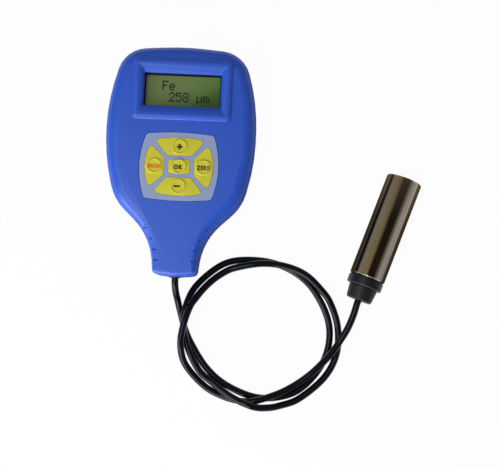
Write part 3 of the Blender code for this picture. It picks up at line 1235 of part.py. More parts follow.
clear_scene()
parts = new_collection("coating_thickness_gauge")
cutters = new_collection("cutters")
build()
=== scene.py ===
"""Visual model of the coating thickness gauge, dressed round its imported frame. Metres, +Z up."""

import math

import bmesh
import bpy
from mathutils import Matrix, Vector
from mathutils.bvhtree import BVHTree


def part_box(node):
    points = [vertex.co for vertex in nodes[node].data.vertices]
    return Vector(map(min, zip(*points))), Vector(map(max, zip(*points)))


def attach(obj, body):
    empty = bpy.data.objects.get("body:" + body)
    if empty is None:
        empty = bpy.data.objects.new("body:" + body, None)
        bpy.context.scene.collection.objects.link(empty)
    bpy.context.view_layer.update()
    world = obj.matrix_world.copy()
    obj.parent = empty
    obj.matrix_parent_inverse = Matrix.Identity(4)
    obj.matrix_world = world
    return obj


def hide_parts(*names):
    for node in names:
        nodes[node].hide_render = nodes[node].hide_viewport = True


MM = 0.001

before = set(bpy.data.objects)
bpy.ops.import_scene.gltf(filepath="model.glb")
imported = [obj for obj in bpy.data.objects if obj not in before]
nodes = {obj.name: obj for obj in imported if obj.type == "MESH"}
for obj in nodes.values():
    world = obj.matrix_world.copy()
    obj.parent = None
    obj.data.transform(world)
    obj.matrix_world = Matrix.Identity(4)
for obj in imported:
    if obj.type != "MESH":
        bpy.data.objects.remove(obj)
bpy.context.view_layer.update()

KEYS = ("plus", "minus", "power", "zero", "middle")


def add_object(name, data):
    """A new object in the scene."""
    made = bpy.data.objects.new(name, data)
    bpy.context.scene.collection.objects.link(made)
    return made


# Camera

TARGET = Vector((0.0374, -0.0344, 0.0))
DISTANCE = 0.5
ELEVATION = math.radians(85.0)
LEAN = math.radians(2.4)        # how far the photograph shows the gauge leaning to the right
LENS = 68.3
SENSOR = 36.0
CLIP_START = 0.01


def make_camera():
    data = bpy.data.cameras.new("camera")
    data.lens = LENS
    data.sensor_width = SENSOR
    data.sensor_fit = "HORIZONTAL"
    data.clip_start = CLIP_START
    back = Vector((0.0, -math.cos(ELEVATION), math.sin(ELEVATION)))
    right = Vector((1.0, 0.0, 0.0))
    up = back.cross(right)
    right_leant = right * math.cos(LEAN) + up * math.sin(LEAN)
    up_leant = back.cross(right_leant)
    turn = Matrix((right_leant, up_leant, back)).transposed().to_4x4()
    camera = add_object("camera", data)
    camera.matrix_world = Matrix.Translation(TARGET + back * DISTANCE) @ turn
    bpy.context.scene.camera = camera


# Material helpers

COLOUR_A, COLOUR_B, COLOUR_OUT = 6, 7, 2    # the Mix node's sockets for colours
CLOUD_SIZE = 14 * MM


def srgb(red, green, blue):
    """A colour given as 0 to 255 on a screen, as linear light."""
    return tuple((c / 255 / 12.92) if c <= 10 else ((c / 255 + 0.055) / 1.055) ** 2.4
                 for c in (red, green, blue)) + (1.0,)


def shade(colour, factor):
    """The same colour, lighter or darker."""
    return tuple(c * factor for c in colour[:3]) + (1.0,)


class Surface:
    """One material and the nodes it is made of."""

    def __init__(self, name, roughness, metallic=0.0, coat=0.0, specular=0.5):
        self.material = bpy.data.materials.new(name)
        self.material.use_nodes = True
        self.tree = self.material.node_tree
        self.shader = self.tree.nodes["Principled BSDF"]
        self.set("Roughness", roughness)
        self.set("Metallic", metallic)
        self.set("Coat Weight", coat)
        self.set("Specular IOR Level", specular)
        self.place = self.add("ShaderNodeTexCoord").outputs["Object"]

    def set(self, socket, value):
        self.shader.inputs[socket].default_value = value

    def add(self, kind, **settings):
        made = self.tree.nodes.new(kind)
        for key, value in settings.items():
            setattr(made, key, value)
        return made

    def link(self, source, target):
        self.tree.links.new(source, target)

    def source(self, socket):
        """What feeds a socket of the shader so far."""
        return self.shader.inputs[socket].links[0].from_socket

    def along(self, axis):
        """Where a point lies on one of the object's axes."""
        split = self.add("ShaderNodeSeparateXYZ")
        self.link(self.place, split.inputs["Vector"])
        return split.outputs[axis]

    def noise(self, size, detail=3.0):
        """Noise whose features are about size across, in metres; the value is about 0 to 1."""
        made = self.add("ShaderNodeTexNoise")
        made.inputs["Scale"].default_value = 1.0 / size
        made.inputs["Detail"].default_value = detail
        self.link(self.place, made.inputs["Vector"])
        return made.outputs["Fac"]

    def ramp(self, value, stops):
        """A colour for each value: stops are (value, colour)."""
        made = self.add("ShaderNodeValToRGB")
        band = made.color_ramp
        for index, (where, colour) in enumerate(stops):
            stop = band.elements[index] if index < 2 else band.elements.new(where)
            stop.position = where
            stop.color = colour
        self.link(value, made.inputs["Fac"])
        return made.outputs["Color"]

    def vary(self, value, low, high, start=0.0, end=1.0):
        """A value between start and end, spread over the range from low to high."""
        made = self.add("ShaderNodeMapRange")
        made.inputs["From Min"].default_value = start
        made.inputs["From Max"].default_value = end
        made.inputs["To Min"].default_value = low
        made.inputs["To Max"].default_value = high
        self.link(value, made.inputs["Value"])
        return made.outputs["Result"]

    def math(self, operation, first, second=None):
        """An operation on one or two values, each a number or a socket."""
        made = self.add("ShaderNodeMath", operation=operation)
        for socket, value in zip(made.inputs, (first, second)):
            if value is None:
                continue
            if isinstance(value, (int, float)):
                socket.default_value = value
            else:
                self.link(value, socket)
        return made.outputs["Value"]

    def apart(self, first, second):
        """How far two values lie apart."""
        return self.math("ABSOLUTE", self.math("SUBTRACT", first, second))

    def mix(self, share, first, second, blend="MIX"):
        """The first colour with a share of the second, each a colour or a socket."""
        made = self.add("ShaderNodeMix", data_type="RGBA", blend_type=blend)
        self.link(share, made.inputs["Factor"])
        for socket, value in ((made.inputs[COLOUR_A], first), (made.inputs[COLOUR_B], second)):
            if isinstance(value, tuple):
                socket.default_value = value
            else:
                self.link(value, socket)
        return made.outputs[COLOUR_OUT]

    def colour(self, source):
        self.link(source, self.shader.inputs["Base Color"])

    def roughness(self, source):
        self.link(source, self.shader.inputs["Roughness"])

    def bump(self, height, distance):
        made = self.add("ShaderNodeBump")
        made.inputs["Distance"].default_value = distance
        self.link(height, made.inputs["Height"])
        self.link(made.outputs["Normal"], self.shader.inputs["Normal"])


def moulded(name, colour, roughness, grain=0.35 * MM, depth=0.01 * MM, spread=0.06, specular=0.5):
    """Moulded plastic: a fine spark-eroded grain and slight clouding of the colour."""
    made = Surface(name, roughness, specular=specular)
    dark, light = shade(colour, 1 - spread), shade(colour, 1 + spread)
    made.colour(made.ramp(made.noise(CLOUD_SIZE), [(0.3, dark), (0.7, light)]))
    fine = made.noise(grain, detail=2.0)
    made.roughness(made.vary(fine, roughness - 0.05, roughness + 0.07))
    made.bump(fine, depth)
    return made


def film(name, colour, roughness):
    """Printed film: like moulded plastic, with a finer and shallower grain."""
    return moulded(name, colour, roughness, grain=0.2 * MM, depth=0.004 * MM, spread=0.03)


# Materials of the case, keypad and display

CASE_BLUE = srgb(27, 81, 195)
WALL_TOP = 22 * MM              # below this height the front half is side wall
WALL_FADE = 3 * MM              # and over this height it turns dull
WALL_DULLNESS = 0.55            # added to the front's roughness
PAD_GREY = srgb(140, 155, 197)
KEY_YELLOW = srgb(201, 194, 38)
KEY_ROUGHNESS = 0.58
MIDDLE_KEY_REACH = 3.6 * MM     # half height of the middle key's yellow
VIEW_WIDTH, VIEW_HEIGHT = 38.0 * MM, 16.0 * MM      # what shows of the display
VIEW_SLOPE = 0.55               # how much its change of green leans over


def case_blue():
    """The front half: smooth on top, duller down its side walls."""
    made = moulded("case_blue", CASE_BLUE, roughness=0.36, spread=0.03, specular=0.6)
    wall = made.vary(made.along("Z"), 0.0, WALL_DULLNESS, start=WALL_TOP, end=WALL_TOP - WALL_FADE)
    made.roughness(made.math("ADD", made.source("Roughness"), wall))
    return made.material


def back_blue():
    """The same plastic, from a duller mould half."""
    return moulded("back_blue", CASE_BLUE, roughness=0.74, spread=0.03, specular=0.2).material


def pad_film():
    return film("pad_film", PAD_GREY, 0.55).material


def key_film():
    return film("key_film", KEY_YELLOW, KEY_ROUGHNESS).material


def middle_key_film(middle_y):
    """The yellow key, whose ring runs on over the grey film above and below it."""
    made = film("middle_key_film", KEY_YELLOW, KEY_ROUGHNESS)
    off = made.apart(made.along("Y"), middle_y)
    outside = made.math("GREATER_THAN", off, MIDDLE_KEY_REACH)
    made.colour(made.mix(outside, made.source("Base Color"), PAD_GREY))
    return made.material


def printed_ink(name, colour):
    made = Surface(name, 0.5)
    made.colour(made.ramp(made.noise(0.4 * MM), [(0.3, colour), (0.8, shade(colour, 1.3))]))
    return made.material


def display_film(centre):
    """The liquid crystal: olive, going over to a deeper green at its lower right corner."""
    made = Surface("display_film", 0.3, specular=0.35)
    across = made.math("DIVIDE", made.math("SUBTRACT", made.along("X"), centre.x), VIEW_WIDTH)
    up = made.math("DIVIDE", made.math("SUBTRACT", made.along("Y"), centre.y), VIEW_HEIGHT)
    lean = made.math("SUBTRACT", across, made.math("MULTIPLY", up, VIEW_SLOPE))
    base = made.ramp(made.math("ADD", lean, 0.5),
                     [(0.0, srgb(128, 146, 84)), (0.5, srgb(120, 146, 78)),
                      (0.78, srgb(102, 138, 60)), (1.0, srgb(66, 110, 24))])
    cloud = made.vary(made.noise(3 * MM), 0.0, 0.2)
    made.colour(made.mix(cloud, base, srgb(116, 134, 84)))
    made.roughness(made.vary(made.noise(0.3 * MM), 0.25, 0.35))
    return made.material


def clear_sheet():
    made = Surface("clear_sheet", 0.08)
    made.set("Base Color", (0.02, 0.022, 0.022, 1.0))
    made.set("Alpha", 0.06)
    made.roughness(made.vary(made.noise(2 * MM), 0.05, 0.12))
    return made.material


# Materials of the lead and the probe

PROBE_START = Vector((94.5 * MM, -67.0 * MM, 9.3 * MM))     # the probe's end by the lead
PROBE_AXIS = Vector((0.328867, 0.944376, 0.0))
COLLAR_LOW = 7.3 * MM           # where the collar and the sleeve begin, from the probe's start
SLEEVE_LOW = 12.3 * MM
COLLAR_HIGHLIGHT_WIDTH = 0.3 * MM          # width of the painted highlight at the collar's lower edge
SLEEVE_MIDDLE = 32 * MM         # where the sleeve starts to turn paler, from its own start
SLEEVE_PALING = 11.0            # share of the paler colour that each metre adds
LIP_HIGHLIGHT_WIDTH = 0.5 * MM            # width of the painted highlight on the sleeve's rim
LIP_HIGHLIGHT_CENTRE, LIP_HIGHLIGHT_REACH = 0.46, 0.11      # where round the tube the rim's painted highlight lies
SLEEVE_PAINTED_REFLECTIONS = [                # painted reflections of light and dark surroundings: share of the way round, 0.5 on top, and the colour there
    (0.0, srgb(90, 82, 72)), (0.22, srgb(58, 57, 52)), (0.332, srgb(62, 61, 57)),
    (0.347, srgb(22, 17, 17)), (0.368, srgb(28, 22, 22)), (0.386, srgb(200, 188, 172)),
    (0.415, srgb(198, 184, 152)), (0.45, srgb(168, 150, 112)), (0.472, srgb(112, 96, 72)),
    (0.482, srgb(40, 29, 22)), (0.535, srgb(44, 34, 27)), (0.556, srgb(176, 162, 146)),
    (0.582, srgb(255, 248, 250)), (0.61, srgb(222, 212, 204)), (0.632, srgb(70, 64, 54)),
    (0.74, srgb(46, 42, 35)), (1.0, srgb(90, 82, 72)),
]


def glossy_jacket():
    """Extruded lead jacket: near black and glossy, a little duller here and there."""
    made = Surface("glossy_jacket", 0.18, specular=0.26)
    made.set("Specular Tint", (0.78, 0.88, 1.0, 1.0))
    wander = made.noise(9 * MM, detail=2.0)
    made.colour(made.ramp(wander, [(0.3, srgb(2, 2, 6)), (0.75, srgb(5, 5, 10))]))
    made.roughness(made.vary(wander, 0.13, 0.19))
    return made.material


def black_rubber():
    return moulded("black_rubber", srgb(13, 14, 18), roughness=0.48, grain=0.3 * MM,
                   depth=0.008 * MM, specular=0.35).material


def probe_axes(made):
    """How far a point lies from the probe's start: to its side, up, and along it."""
    from_start = made.add("ShaderNodeVectorMath", operation="SUBTRACT")
    made.link(made.place, from_start.inputs[0])
    from_start.inputs[1].default_value = PROBE_START
    up = Vector((0.0, 0.0, 1.0))
    parts = []
    for direction in (PROBE_AXIS.cross(up), up, PROBE_AXIS):
        dot = made.add("ShaderNodeVectorMath", operation="DOT_PRODUCT")
        made.link(from_start.outputs["Vector"], dot.inputs[0])
        dot.inputs[1].default_value = direction
        parts.append(dot.outputs["Value"])
    return parts


def dark_collar():
    """Dark moulded rings, the one by the lead with a painted highlight along its lower edge."""
    made = moulded("dark_collar", srgb(10, 12, 18), roughness=0.40, grain=0.3 * MM,
                   depth=0.005 * MM, specular=0.35)
    # a lighter band at the collar's lower edge: a painted highlight
    edge = made.math("LESS_THAN", probe_axes(made)[2], COLLAR_LOW + COLLAR_HIGHLIGHT_WIDTH)
    made.colour(made.mix(edge, made.source("Base Color"), srgb(48, 45, 48)))
    return made.material


def chrome_sleeve():
    """Brown-tinged polished chrome whose colour holds painted reflections: lengthwise light and
    dark bands, fixed to the tube itself.
    """
    made = Surface("chrome_sleeve", 0.2, metallic=1.0)
    made.set("Specular Tint", (0.36, 0.36, 0.34, 1.0))
    side, up, along = probe_axes(made)
    angle = made.math("DIVIDE", made.math("ARCTAN2", side, up), math.pi)
    way_round = made.math("MULTIPLY", made.math("ADD", angle, 1.0), 0.5)
    streaks = made.noise(7 * MM)
    streak_share = made.vary(streaks, 0.0, 0.22)
    # painted reflections: light and dark bands round the tube, broken by random streaks
    tone = made.mix(streak_share, made.ramp(way_round, SLEEVE_PAINTED_REFLECTIONS), srgb(104, 94, 78))
    tint = made.ramp(made.noise(5 * MM, detail=2.0),
                     [(0.38, (1.0, 0.86, 0.80, 1.0)), (0.62, (0.92, 0.98, 0.78, 1.0))])
    tone = made.mix(made.vary(streaks, 0.5, 1.0), tone, tint, blend="MULTIPLY")
    past_middle = made.math("SUBTRACT", along, SLEEVE_LOW + SLEEVE_MIDDLE)
    paling = made.math("MULTIPLY", made.math("MAXIMUM", past_middle, 0.0), SLEEVE_PALING)
    tone = made.mix(paling, tone, srgb(166, 140, 116))
    # a painted highlight along the sleeve's rim, near the top of the tube
    at_rim = made.math("LESS_THAN", along, SLEEVE_LOW + LIP_HIGHLIGHT_WIDTH)
    near_top = made.math("LESS_THAN", made.apart(way_round, LIP_HIGHLIGHT_CENTRE), LIP_HIGHLIGHT_REACH)
    made.colour(made.mix(made.math("MULTIPLY", at_rim, near_top), tone, srgb(196, 190, 176)))
    made.roughness(made.vary(streaks, 0.16, 0.26))
    return made.material


# Materials of the insides

def bright_metal(name, colour, roughness):
    made = Surface(name, roughness, metallic=1.0)
    grain = made.noise(0.5 * MM, detail=4.0)
    made.colour(made.ramp(grain, [(0.3, shade(colour, 0.85)), (0.7, colour)]))
    made.roughness(made.vary(grain, roughness - 0.05, roughness + 0.1))
    return made.material


def circuit_green():
    made = Surface("circuit_green", 0.35, coat=0.3)
    tracks = made.noise(1.5 * MM, detail=1.0)
    made.colour(made.ramp(tracks, [(0.48, srgb(18, 78, 42)), (0.5, srgb(30, 104, 56))]))
    return made.material


def battery_jacket():
    made = Surface("battery_jacket", 0.28, coat=0.3)
    made.colour(made.ramp(made.noise(6 * MM), [(0.3, srgb(44, 45, 50)), (0.7, srgb(58, 59, 66))]))
    return made.material


# Dressing the CAD nodes

SHARP_ANGLE = math.radians(32)  # an edge between faces that turn more than this stays sharp
CASE_ANGLE = math.radians(50)   # the front half's shoulder has coarse steps
KEY_ANGLE = math.radians(50)    # the film runs softly over the keys' rings
WELD_DISTANCE = 0.002 * MM
FLAT_FACE_WEIGHT = 100          # a shared normal follows its largest face


def smooth(node, angle):
    """Weld the split faces and shade them smoothly, each normal weighted by face area."""
    made = nodes[node]
    mesh = made.data
    if "custom_normal" in mesh.attributes:
        mesh.attributes.remove(mesh.attributes["custom_normal"])
    mesh.polygons.foreach_set("use_smooth", [True] * len(mesh.polygons))
    weld = made.modifiers.new("weld", "WELD")
    weld.merge_threshold = WELD_DISTANCE
    split = made.modifiers.new("sharp_edges", "EDGE_SPLIT")
    split.split_angle = angle
    split.use_edge_sharp = False
    weighted = made.modifiers.new("flat_faces", "WEIGHTED_NORMAL")
    weighted.weight = FLAT_FACE_WEIGHT


def dress(material, *names, angle=SHARP_ANGLE):
    for name in names:
        mesh = nodes[name].data
        mesh.materials.clear()
        mesh.materials.append(material)
        smooth(name, angle)


def numbered(name, count):
    """The names of alike pieces, counted from 1."""
    return [f"{name}_{index}" for index in range(1, count + 1)]


def dress_nodes():
    dress(case_blue(), "front_case", angle=CASE_ANGLE)
    dress(back_blue(), "back_case", "battery_door")
    dress(pad_film(), "keypad_overlay")
    dress(key_film(), "key_plus", "key_minus", "key_power", "key_zero", angle=KEY_ANGLE)
    low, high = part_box("plunger_middle")
    dress(middle_key_film((low.y + high.y) / 2), "key_middle", angle=KEY_ANGLE)
    dress(clear_sheet(), "display_window")
    low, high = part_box("display_glass")
    dress(display_film((low + high) / 2), "display_glass")
    dress(bright_metal("black_frame", srgb(40, 41, 44), 0.45), "display_frame")
    dress(circuit_green(), "display_board", "main_board")
    dress(moulded("black_plastic", srgb(28, 28, 31), roughness=0.45).material,
          "board_header", "controller_chip", "amplifier_chip", "buzzer", "lead_clamp",
          *["switch_" + key for key in KEYS])
    dress(moulded("white_plastic", srgb(226, 226, 220), roughness=0.5).material,
          *["plunger_" + key for key in KEYS])
    dress(bright_metal("steel", srgb(196, 197, 202), 0.28), "probe_core", "probe_spring",
          *numbered("battery_plate", 2), *numbered("battery_spring", 2),
          *numbered("case_screw", 4), *numbered("board_screw", 4), *numbered("clamp_screw", 2))
    dress(battery_jacket(), *numbered("battery", 2))
    dress(black_rubber(), "lead_grommet", "probe_boot")
    dress(dark_collar(), "probe_collar", "probe_bush")
    dress(chrome_sleeve(), "probe_sleeve")
    dress(bright_metal("copper", srgb(176, 104, 66), 0.35), "probe_coil")
    dress(bright_metal("hard_tip", srgb(170, 170, 176), 0.15), "probe_tip")


# Lead

LEAD_RADIUS = 1.8 * MM
LEAD_ROUND_STEPS = 7            # how finely the tube is rounded
LEAD_SPACING = 1.25 * MM        # least distance between two points of the curve
LEAD_STEPS = 16                 # steps tried between two points of the route
LEAD_RUN_OUT = 1.5 * MM         # straight run before the boot
LEAD_RUN_IN = 3.5 * MM          # and inside it
LEAD_START = [(0.0, -47.0, 12.0), (0.0, -60.5, 12.0)]       # straight out of the neck, in mm
LEAD_ROUTE = [                  # points of the CAD lead, in mm
    (0.1, -63.5, 11.0), (0.5, -67.0, 8.6), (1.3, -70.5, 5.4), (2.4, -75.0, 2.9),
    (3.7, -79.5, 1.9), (5.3, -84.6, 1.9), (9.3, -93.0, 1.9), (18.0, -105.4, 1.9),
    (29.3, -114.0, 1.9), (45.3, -119.3, 1.9), (61.3, -116.9, 1.9), (71.8, -109.0, 1.9),
    (78.8, -97.8, 1.9), (81.0, -85.5, 1.9), (78.5, -74.0, 1.9), (71.0, -61.5, 1.9),
    (62.0, -54.0, 1.9), (50.6, -49.4, 1.9), (38.4, -48.2, 1.9), (27.0, -49.8, 1.9),
    (18.0, -55.3, 1.9), (9.5, -64.4, 3.2), (5.8, -74.0, 5.6), (5.0, -84.0, 5.8),
    (8.2, -96.0, 5.1), (14.3, -106.7, 4.3), (21.4, -112.5, 4.1), (27.3, -116.7, 5.7),
    (33.0, -119.9, 7.6), (39.0, -122.2, 9.7), (44.5, -123.8, 8.5), (50.5, -124.0, 4.8),
    (56.5, -122.9, 2.0), (66.3, -118.9, 1.9), (78.9, -107.6, 1.9), (84.9, -95.0, 1.9),
    (85.0, -81.0, 1.9), (80.7, -68.9, 2.6), (75.6, -62.4, 4.8), (68.2, -55.6, 5.6),
    (60.5, -52.0, 5.8), (52.0, -50.2, 5.8), (45.0, -50.0, 5.8), (38.9, -50.8, 5.6),
    (32.0, -52.4, 4.7), (26.8, -54.2, 4.0), (20.3, -58.6, 4.3), (15.0, -63.8, 5.2),
    (11.0, -69.2, 7.2), (8.0, -74.2, 9.0), (5.2, -83.8, 9.9), (4.2, -94.0, 8.5),
    (7.0, -104.0, 3.5), (16.9, -114.3, 1.9), (26.6, -119.2, 1.9), (34.4, -121.1, 2.9),
    (38.0, -121.4, 4.1), (41.5, -121.0, 5.8), (46.0, -120.0, 6.1), (55.0, -116.7, 5.6),
    (62.0, -113.0, 5.2), (67.5, -109.2, 5.4), (72.3, -105.2, 5.8), (77.0, -100.4, 5.9),
    (81.9, -94.8, 5.9), (86.0, -88.5, 6.0), (89.6, -82.0, 7.2), (92.2, -75.0, 8.8),
]


def lead_points():
    """The same curve as the CAD lead's, more finely stepped."""
    points = [Vector(point) * MM for point in LEAD_START + LEAD_ROUTE]
    points += [PROBE_START - PROBE_AXIS * LEAD_RUN_OUT, PROBE_START + PROBE_AXIS * LEAD_RUN_IN]
    dense = []
    for before, start, end, after in zip(points, points[1:], points[2:], points[3:]):
        for step in range(LEAD_STEPS):
            t = step / LEAD_STEPS
            dense.append(0.5 * (2 * start + (end - before) * t
                                + (2 * before - 5 * start + 4 * end - after) * t ** 2
                                + (3 * start - before - 3 * end + after) * t ** 3))
    dense.append(points[-2])
    route = [points[0], dense[0]]
    for point in dense[1:-1]:
        if (point - route[-1]).length >= LEAD_SPACING:
            route.append(point)
    route += [dense[-1], points[-1]]
    for point in route:
        point.z = max(point.z, LEAD_RADIUS)
    return route


def make_lead():
    curve = bpy.data.curves.new("lead_jacket", "CURVE")
    curve.dimensions = "3D"
    curve.bevel_depth = LEAD_RADIUS
    curve.bevel_resolution = LEAD_ROUND_STEPS
    curve.use_fill_caps = True
    route = lead_points()
    spline = curve.splines.new("POLY")
    spline.points.add(len(route) - 1)
    for place, point in zip(spline.points, route):
        place.co = (*point, 1.0)
    spline.use_smooth = True
    curve.materials.append(glossy_jacket())
    lead = add_object("lead_jacket", curve)
    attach(lead, "gauge")
    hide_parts("probe_lead")


# Words printed on the keys

LETTER_GRID = 0.25 * MM         # printed letters are cut up this finely, to follow the key
LETTER_SPREAD = 1.3             # how much wider than usual the letters are spaced
LETTER_STEPS = 4                # how finely a letter's curves are stepped
INK_THICKNESS = 0.03 * MM
INK_GAP = INK_THICKNESS / 3     # how far ink stands off the key
LOOK_DOWN_HEIGHT = 0.1          # a height above every piece
LEGENDS = [                     # key, words, width, height, shift from its middle (mm), weight, ink
    ("plus", "+", 2.9, 2.9, (0.0, 0.0), 0.06, "black_ink"),
    ("minus", "-", 3.2, 0.95, (-0.5, 0.1), 0.0, "black_ink"),
    ("power", "ON/OFF", 6.9, 2.3, (-0.1, -0.2), 0.06, "red_ink"),
    ("zero", "ZERO", 6.5, 2.4, (0.1, -0.2), 0.06, "black_ink"),
    ("middle", "OK", 4.6, 2.4, (-0.2, -0.2), 0.075, "black_ink"),
]
INKS = {"black_ink": srgb(24, 24, 20), "red_ink": srgb(216, 62, 28)}


def letter_mesh(name, words, weight):
    """Flat letters, at the font's own size."""
    text = bpy.data.curves.new(name, "FONT")
    text.body = words
    text.space_character = LETTER_SPREAD
    text.offset = weight
    text.resolution_u = LETTER_STEPS
    guide = add_object(name + "_guide", text)
    graph = bpy.context.evaluated_depsgraph_get()
    graph.update()
    mesh = bpy.data.meshes.new_from_object(guide.evaluated_get(graph))
    bpy.data.objects.remove(guide, do_unlink=True)
    return mesh


def fit(shape, centre, width, height):
    """Scale flat letters to their size on the key, and cut them up so that they can follow it."""
    low = Vector([min(v.co[axis] for v in shape.verts) for axis in range(2)])
    high = Vector([max(v.co[axis] for v in shape.verts) for axis in range(2)])
    for vert in shape.verts:
        x = (vert.co.x - (low.x + high.x) / 2) * width / (high.x - low.x)
        y = (vert.co.y - (low.y + high.y) / 2) * height / (high.y - low.y)
        vert.co = Vector((centre[0] + x, centre[1] + y, 0.0))
    axes = (Vector((1.0, 0.0, 0.0)), Vector((0.0, 1.0, 0.0)))
    for axis, middle, size in zip(axes, centre, (width, height)):
        count = int(size / LETTER_GRID) + 1
        for step in range(1, count):
            where = axis * (middle - size / 2 + size * step / count)
            bmesh.ops.bisect_plane(shape, geom=shape.verts[:] + shape.edges[:] + shape.faces[:],
                                   plane_co=where, plane_no=axis)


def lay_on(shape, node):
    """Drop flat letters on a node's top face."""
    mesh_below = nodes[node].data
    tree = BVHTree.FromPolygons([v.co for v in mesh_below.vertices],
                                [tuple(p.vertices) for p in mesh_below.polygons])
    down = Vector((0.0, 0.0, -1.0))
    for vert in shape.verts:
        hit = tree.ray_cast(Vector((vert.co.x, vert.co.y, LOOK_DOWN_HEIGHT)), down)[0]
        vert.co.z = (hit.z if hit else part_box(node)[1].z) + INK_GAP
    bmesh.ops.recalc_face_normals(shape, faces=shape.faces)
    for face in shape.faces:
        if face.normal.z < 0:
            face.normal_flip()


def printed(name, mesh, centre, width, height, node, body, ink):
    """Letters laid on a node's top face like print."""
    shape = bmesh.new()
    shape.from_mesh(mesh)
    fit(shape, centre, width, height)
    lay_on(shape, node)
    shape.to_mesh(mesh)
    shape.free()
    mesh.name = name
    mesh.materials.clear()
    mesh.materials.append(ink)
    made = add_object(name, mesh)
    solid = made.modifiers.new("ink", "SOLIDIFY")
    solid.thickness = INK_THICKNESS
    solid.offset = 1.0
    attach(made, body)
    return made


def make_legends():
    inks = {name: printed_ink(name, colour) for name, colour in INKS.items()}
    for key, words, width, height, shift, weight, ink in LEGENDS:
        name = "legend_" + key
        low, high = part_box("plunger_" + key)
        centre = ((low.x + high.x) / 2 + shift[0] * MM, (low.y + high.y) / 2 + shift[1] * MM)
        made = printed(name, letter_mesh(name, words, weight), centre, width * MM, height * MM,
                       "key_" + key, key + "_key", inks[ink])


# Display characters

GLYPHS = {                      # rows of dots from the top; the tail of the u goes one row lower
    "F": ("11111", "10000", "10000", "11110", "10000", "10000", "10000"),
    "e": ("00000", "00000", "01110", "10001", "11111", "10000", "01110"),
    "2": ("01110", "10001", "00001", "00010", "00100", "01000", "11111"),
    "5": ("11111", "10000", "11110", "00001", "00001", "10001", "01110"),
    "8": ("01110", "10001", "10001", "01110", "10001", "10001", "01110"),
    "u": ("00000", "00000", "10001", "10001", "10001", "10011", "11101", "10000"),
    "m": ("00000", "00000", "11010", "10101", "10101", "10101", "10101"),
}
GLYPH_ROWS = 7
DISPLAY_LINES = (" Fe", "  258 um")
CHARACTERS = 8                  # room for this many on a line
CHARACTER_PITCH = 3.55 * MM
LINE_PITCH = 5.94 * MM
DOT_X, DOT_Y = 0.60 * MM, 0.70 * MM
DOT_SHARE = 1.12                # size of a dot as a share of its pitch: they run together
DOT_THICKNESS = 0.03 * MM
DOT_GAP = DOT_THICKNESS / 3     # how far the dots stand off the glass


def lit_dots():
    """Middle of each dark dot, from the middle of the display."""
    for row, line in enumerate(DISPLAY_LINES):
        line_y = LINE_PITCH * (0.5 - row)
        for column, character in enumerate(line):
            left = CHARACTER_PITCH * (column - CHARACTERS / 2)
            for dot_row, bits in enumerate(GLYPHS.get(character, ())):
                for dot_column, bit in enumerate(bits):
                    if bit == "1":
                        yield (left + DOT_X * (dot_column + 0.5),
                               line_y + DOT_Y * (GLYPH_ROWS / 2 - dot_row - 0.5))


def make_characters():
    low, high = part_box("display_glass")
    centre = (low + high) / 2
    size = Matrix.Diagonal((DOT_X * DOT_SHARE, DOT_Y * DOT_SHARE, DOT_THICKNESS, 1.0))
    shape = bmesh.new()
    for x, y in lit_dots():
        place = Vector((centre.x + x, centre.y + y, high.z + DOT_THICKNESS / 2 + DOT_GAP))
        bmesh.ops.create_cube(shape, size=1.0, matrix=Matrix.Translation(place) @ size)
    mesh = bpy.data.meshes.new("display_characters")
    shape.to_mesh(mesh)
    shape.free()
    mesh.materials.append(printed_ink("display_ink", srgb(14, 24, 14)))
    made = add_object("display_characters", mesh)
    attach(made, "gauge")


# Studio

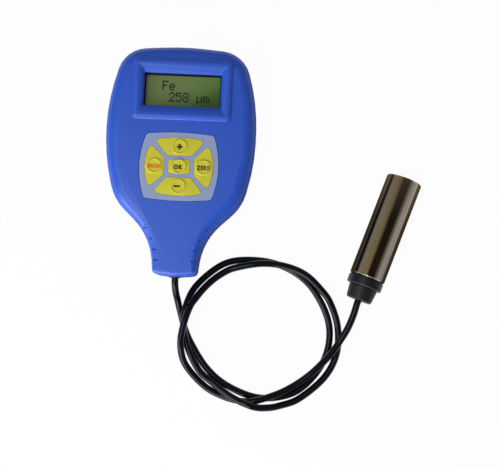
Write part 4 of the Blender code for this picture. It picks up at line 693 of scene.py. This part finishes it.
FLOOR_SIZE = 12.0
FLOOR_DEPTH = 0.2 * MM          # how far below the object the floor lies
FLOOR_WHITE = (0.76, 0.76, 0.76, 1.0)       # by which it throws light back on the object
FLOOR_GLOW = 0.96               # share of the seen floor's white that doesn't depend on the lamps
WORLD_LEVEL = 0.30
LIGHT_AIM = Vector((0.02, -0.02, 0.0))
LIGHTS = [                      # name, direction, distance, size, watts
    ("key_light", Vector((-0.28, -0.87, 0.40)), 0.6, 0.36, 2.0),
    ("side_light", Vector((-0.74, -0.54, 0.40)), 0.6, 0.36, 1.8),
    ("fill_light", Vector((-0.35, -0.15, 0.92)), 0.9, 0.50, 2.0),
]


def floor_white():
    """Plain matt white that keeps its shadow, and glows where it is seen or mirrored."""
    made = Surface("floor", 0.9)
    made.set("Base Color", FLOOR_WHITE)
    glow = made.add("ShaderNodeEmission")
    glow.inputs["Strength"].default_value = 1.0
    path = made.add("ShaderNodeLightPath")
    seen = path.outputs["Is Camera Ray"]
    for ray in ("Is Glossy Ray", "Is Transmission Ray"):
        seen = made.math("MAXIMUM", seen, path.outputs[ray])
    blend = made.add("ShaderNodeMixShader")
    made.link(made.math("MULTIPLY", seen, FLOOR_GLOW), blend.inputs["Fac"])
    made.link(made.shader.outputs["BSDF"], blend.inputs[1])
    made.link(glow.outputs["Emission"], blend.inputs[2])
    made.link(blend.outputs["Shader"], made.tree.nodes["Material Output"].inputs["Surface"])
    return made.material


def make_floor():
    shape = bmesh.new()
    bmesh.ops.create_grid(shape, x_segments=1, y_segments=1, size=FLOOR_SIZE)
    mesh = bpy.data.meshes.new("floor")
    shape.to_mesh(mesh)
    shape.free()
    mesh.materials.append(floor_white())
    floor = add_object("floor", mesh)
    floor.location.z = -FLOOR_DEPTH


def area_light(name, place, target, size, power):
    data = bpy.data.lights.new(name, "AREA")
    data.shape = "DISK"
    data.size = size
    data.energy = power
    made = add_object(name, data)
    made.location = place
    made.rotation_euler = (target - place).to_track_quat("-Z", "Y").to_euler()


def make_studio():
    world = bpy.data.worlds.new("studio")
    world.use_nodes = True
    back = world.node_tree.nodes["Background"]
    back.inputs["Color"].default_value = (1.0, 1.0, 1.0, 1.0)
    back.inputs["Strength"].default_value = WORLD_LEVEL
    bpy.context.scene.world = world
    for name, direction, away, size, power in LIGHTS:
        area_light(name, LIGHT_AIM + direction * away, LIGHT_AIM, size, power)
    make_floor()
    bpy.context.scene.view_settings.view_transform = "Standard"


make_camera()
make_lead()
make_studio()
dress_nodes()
make_legends()
make_characters()

bpy.context.view_layer.update()
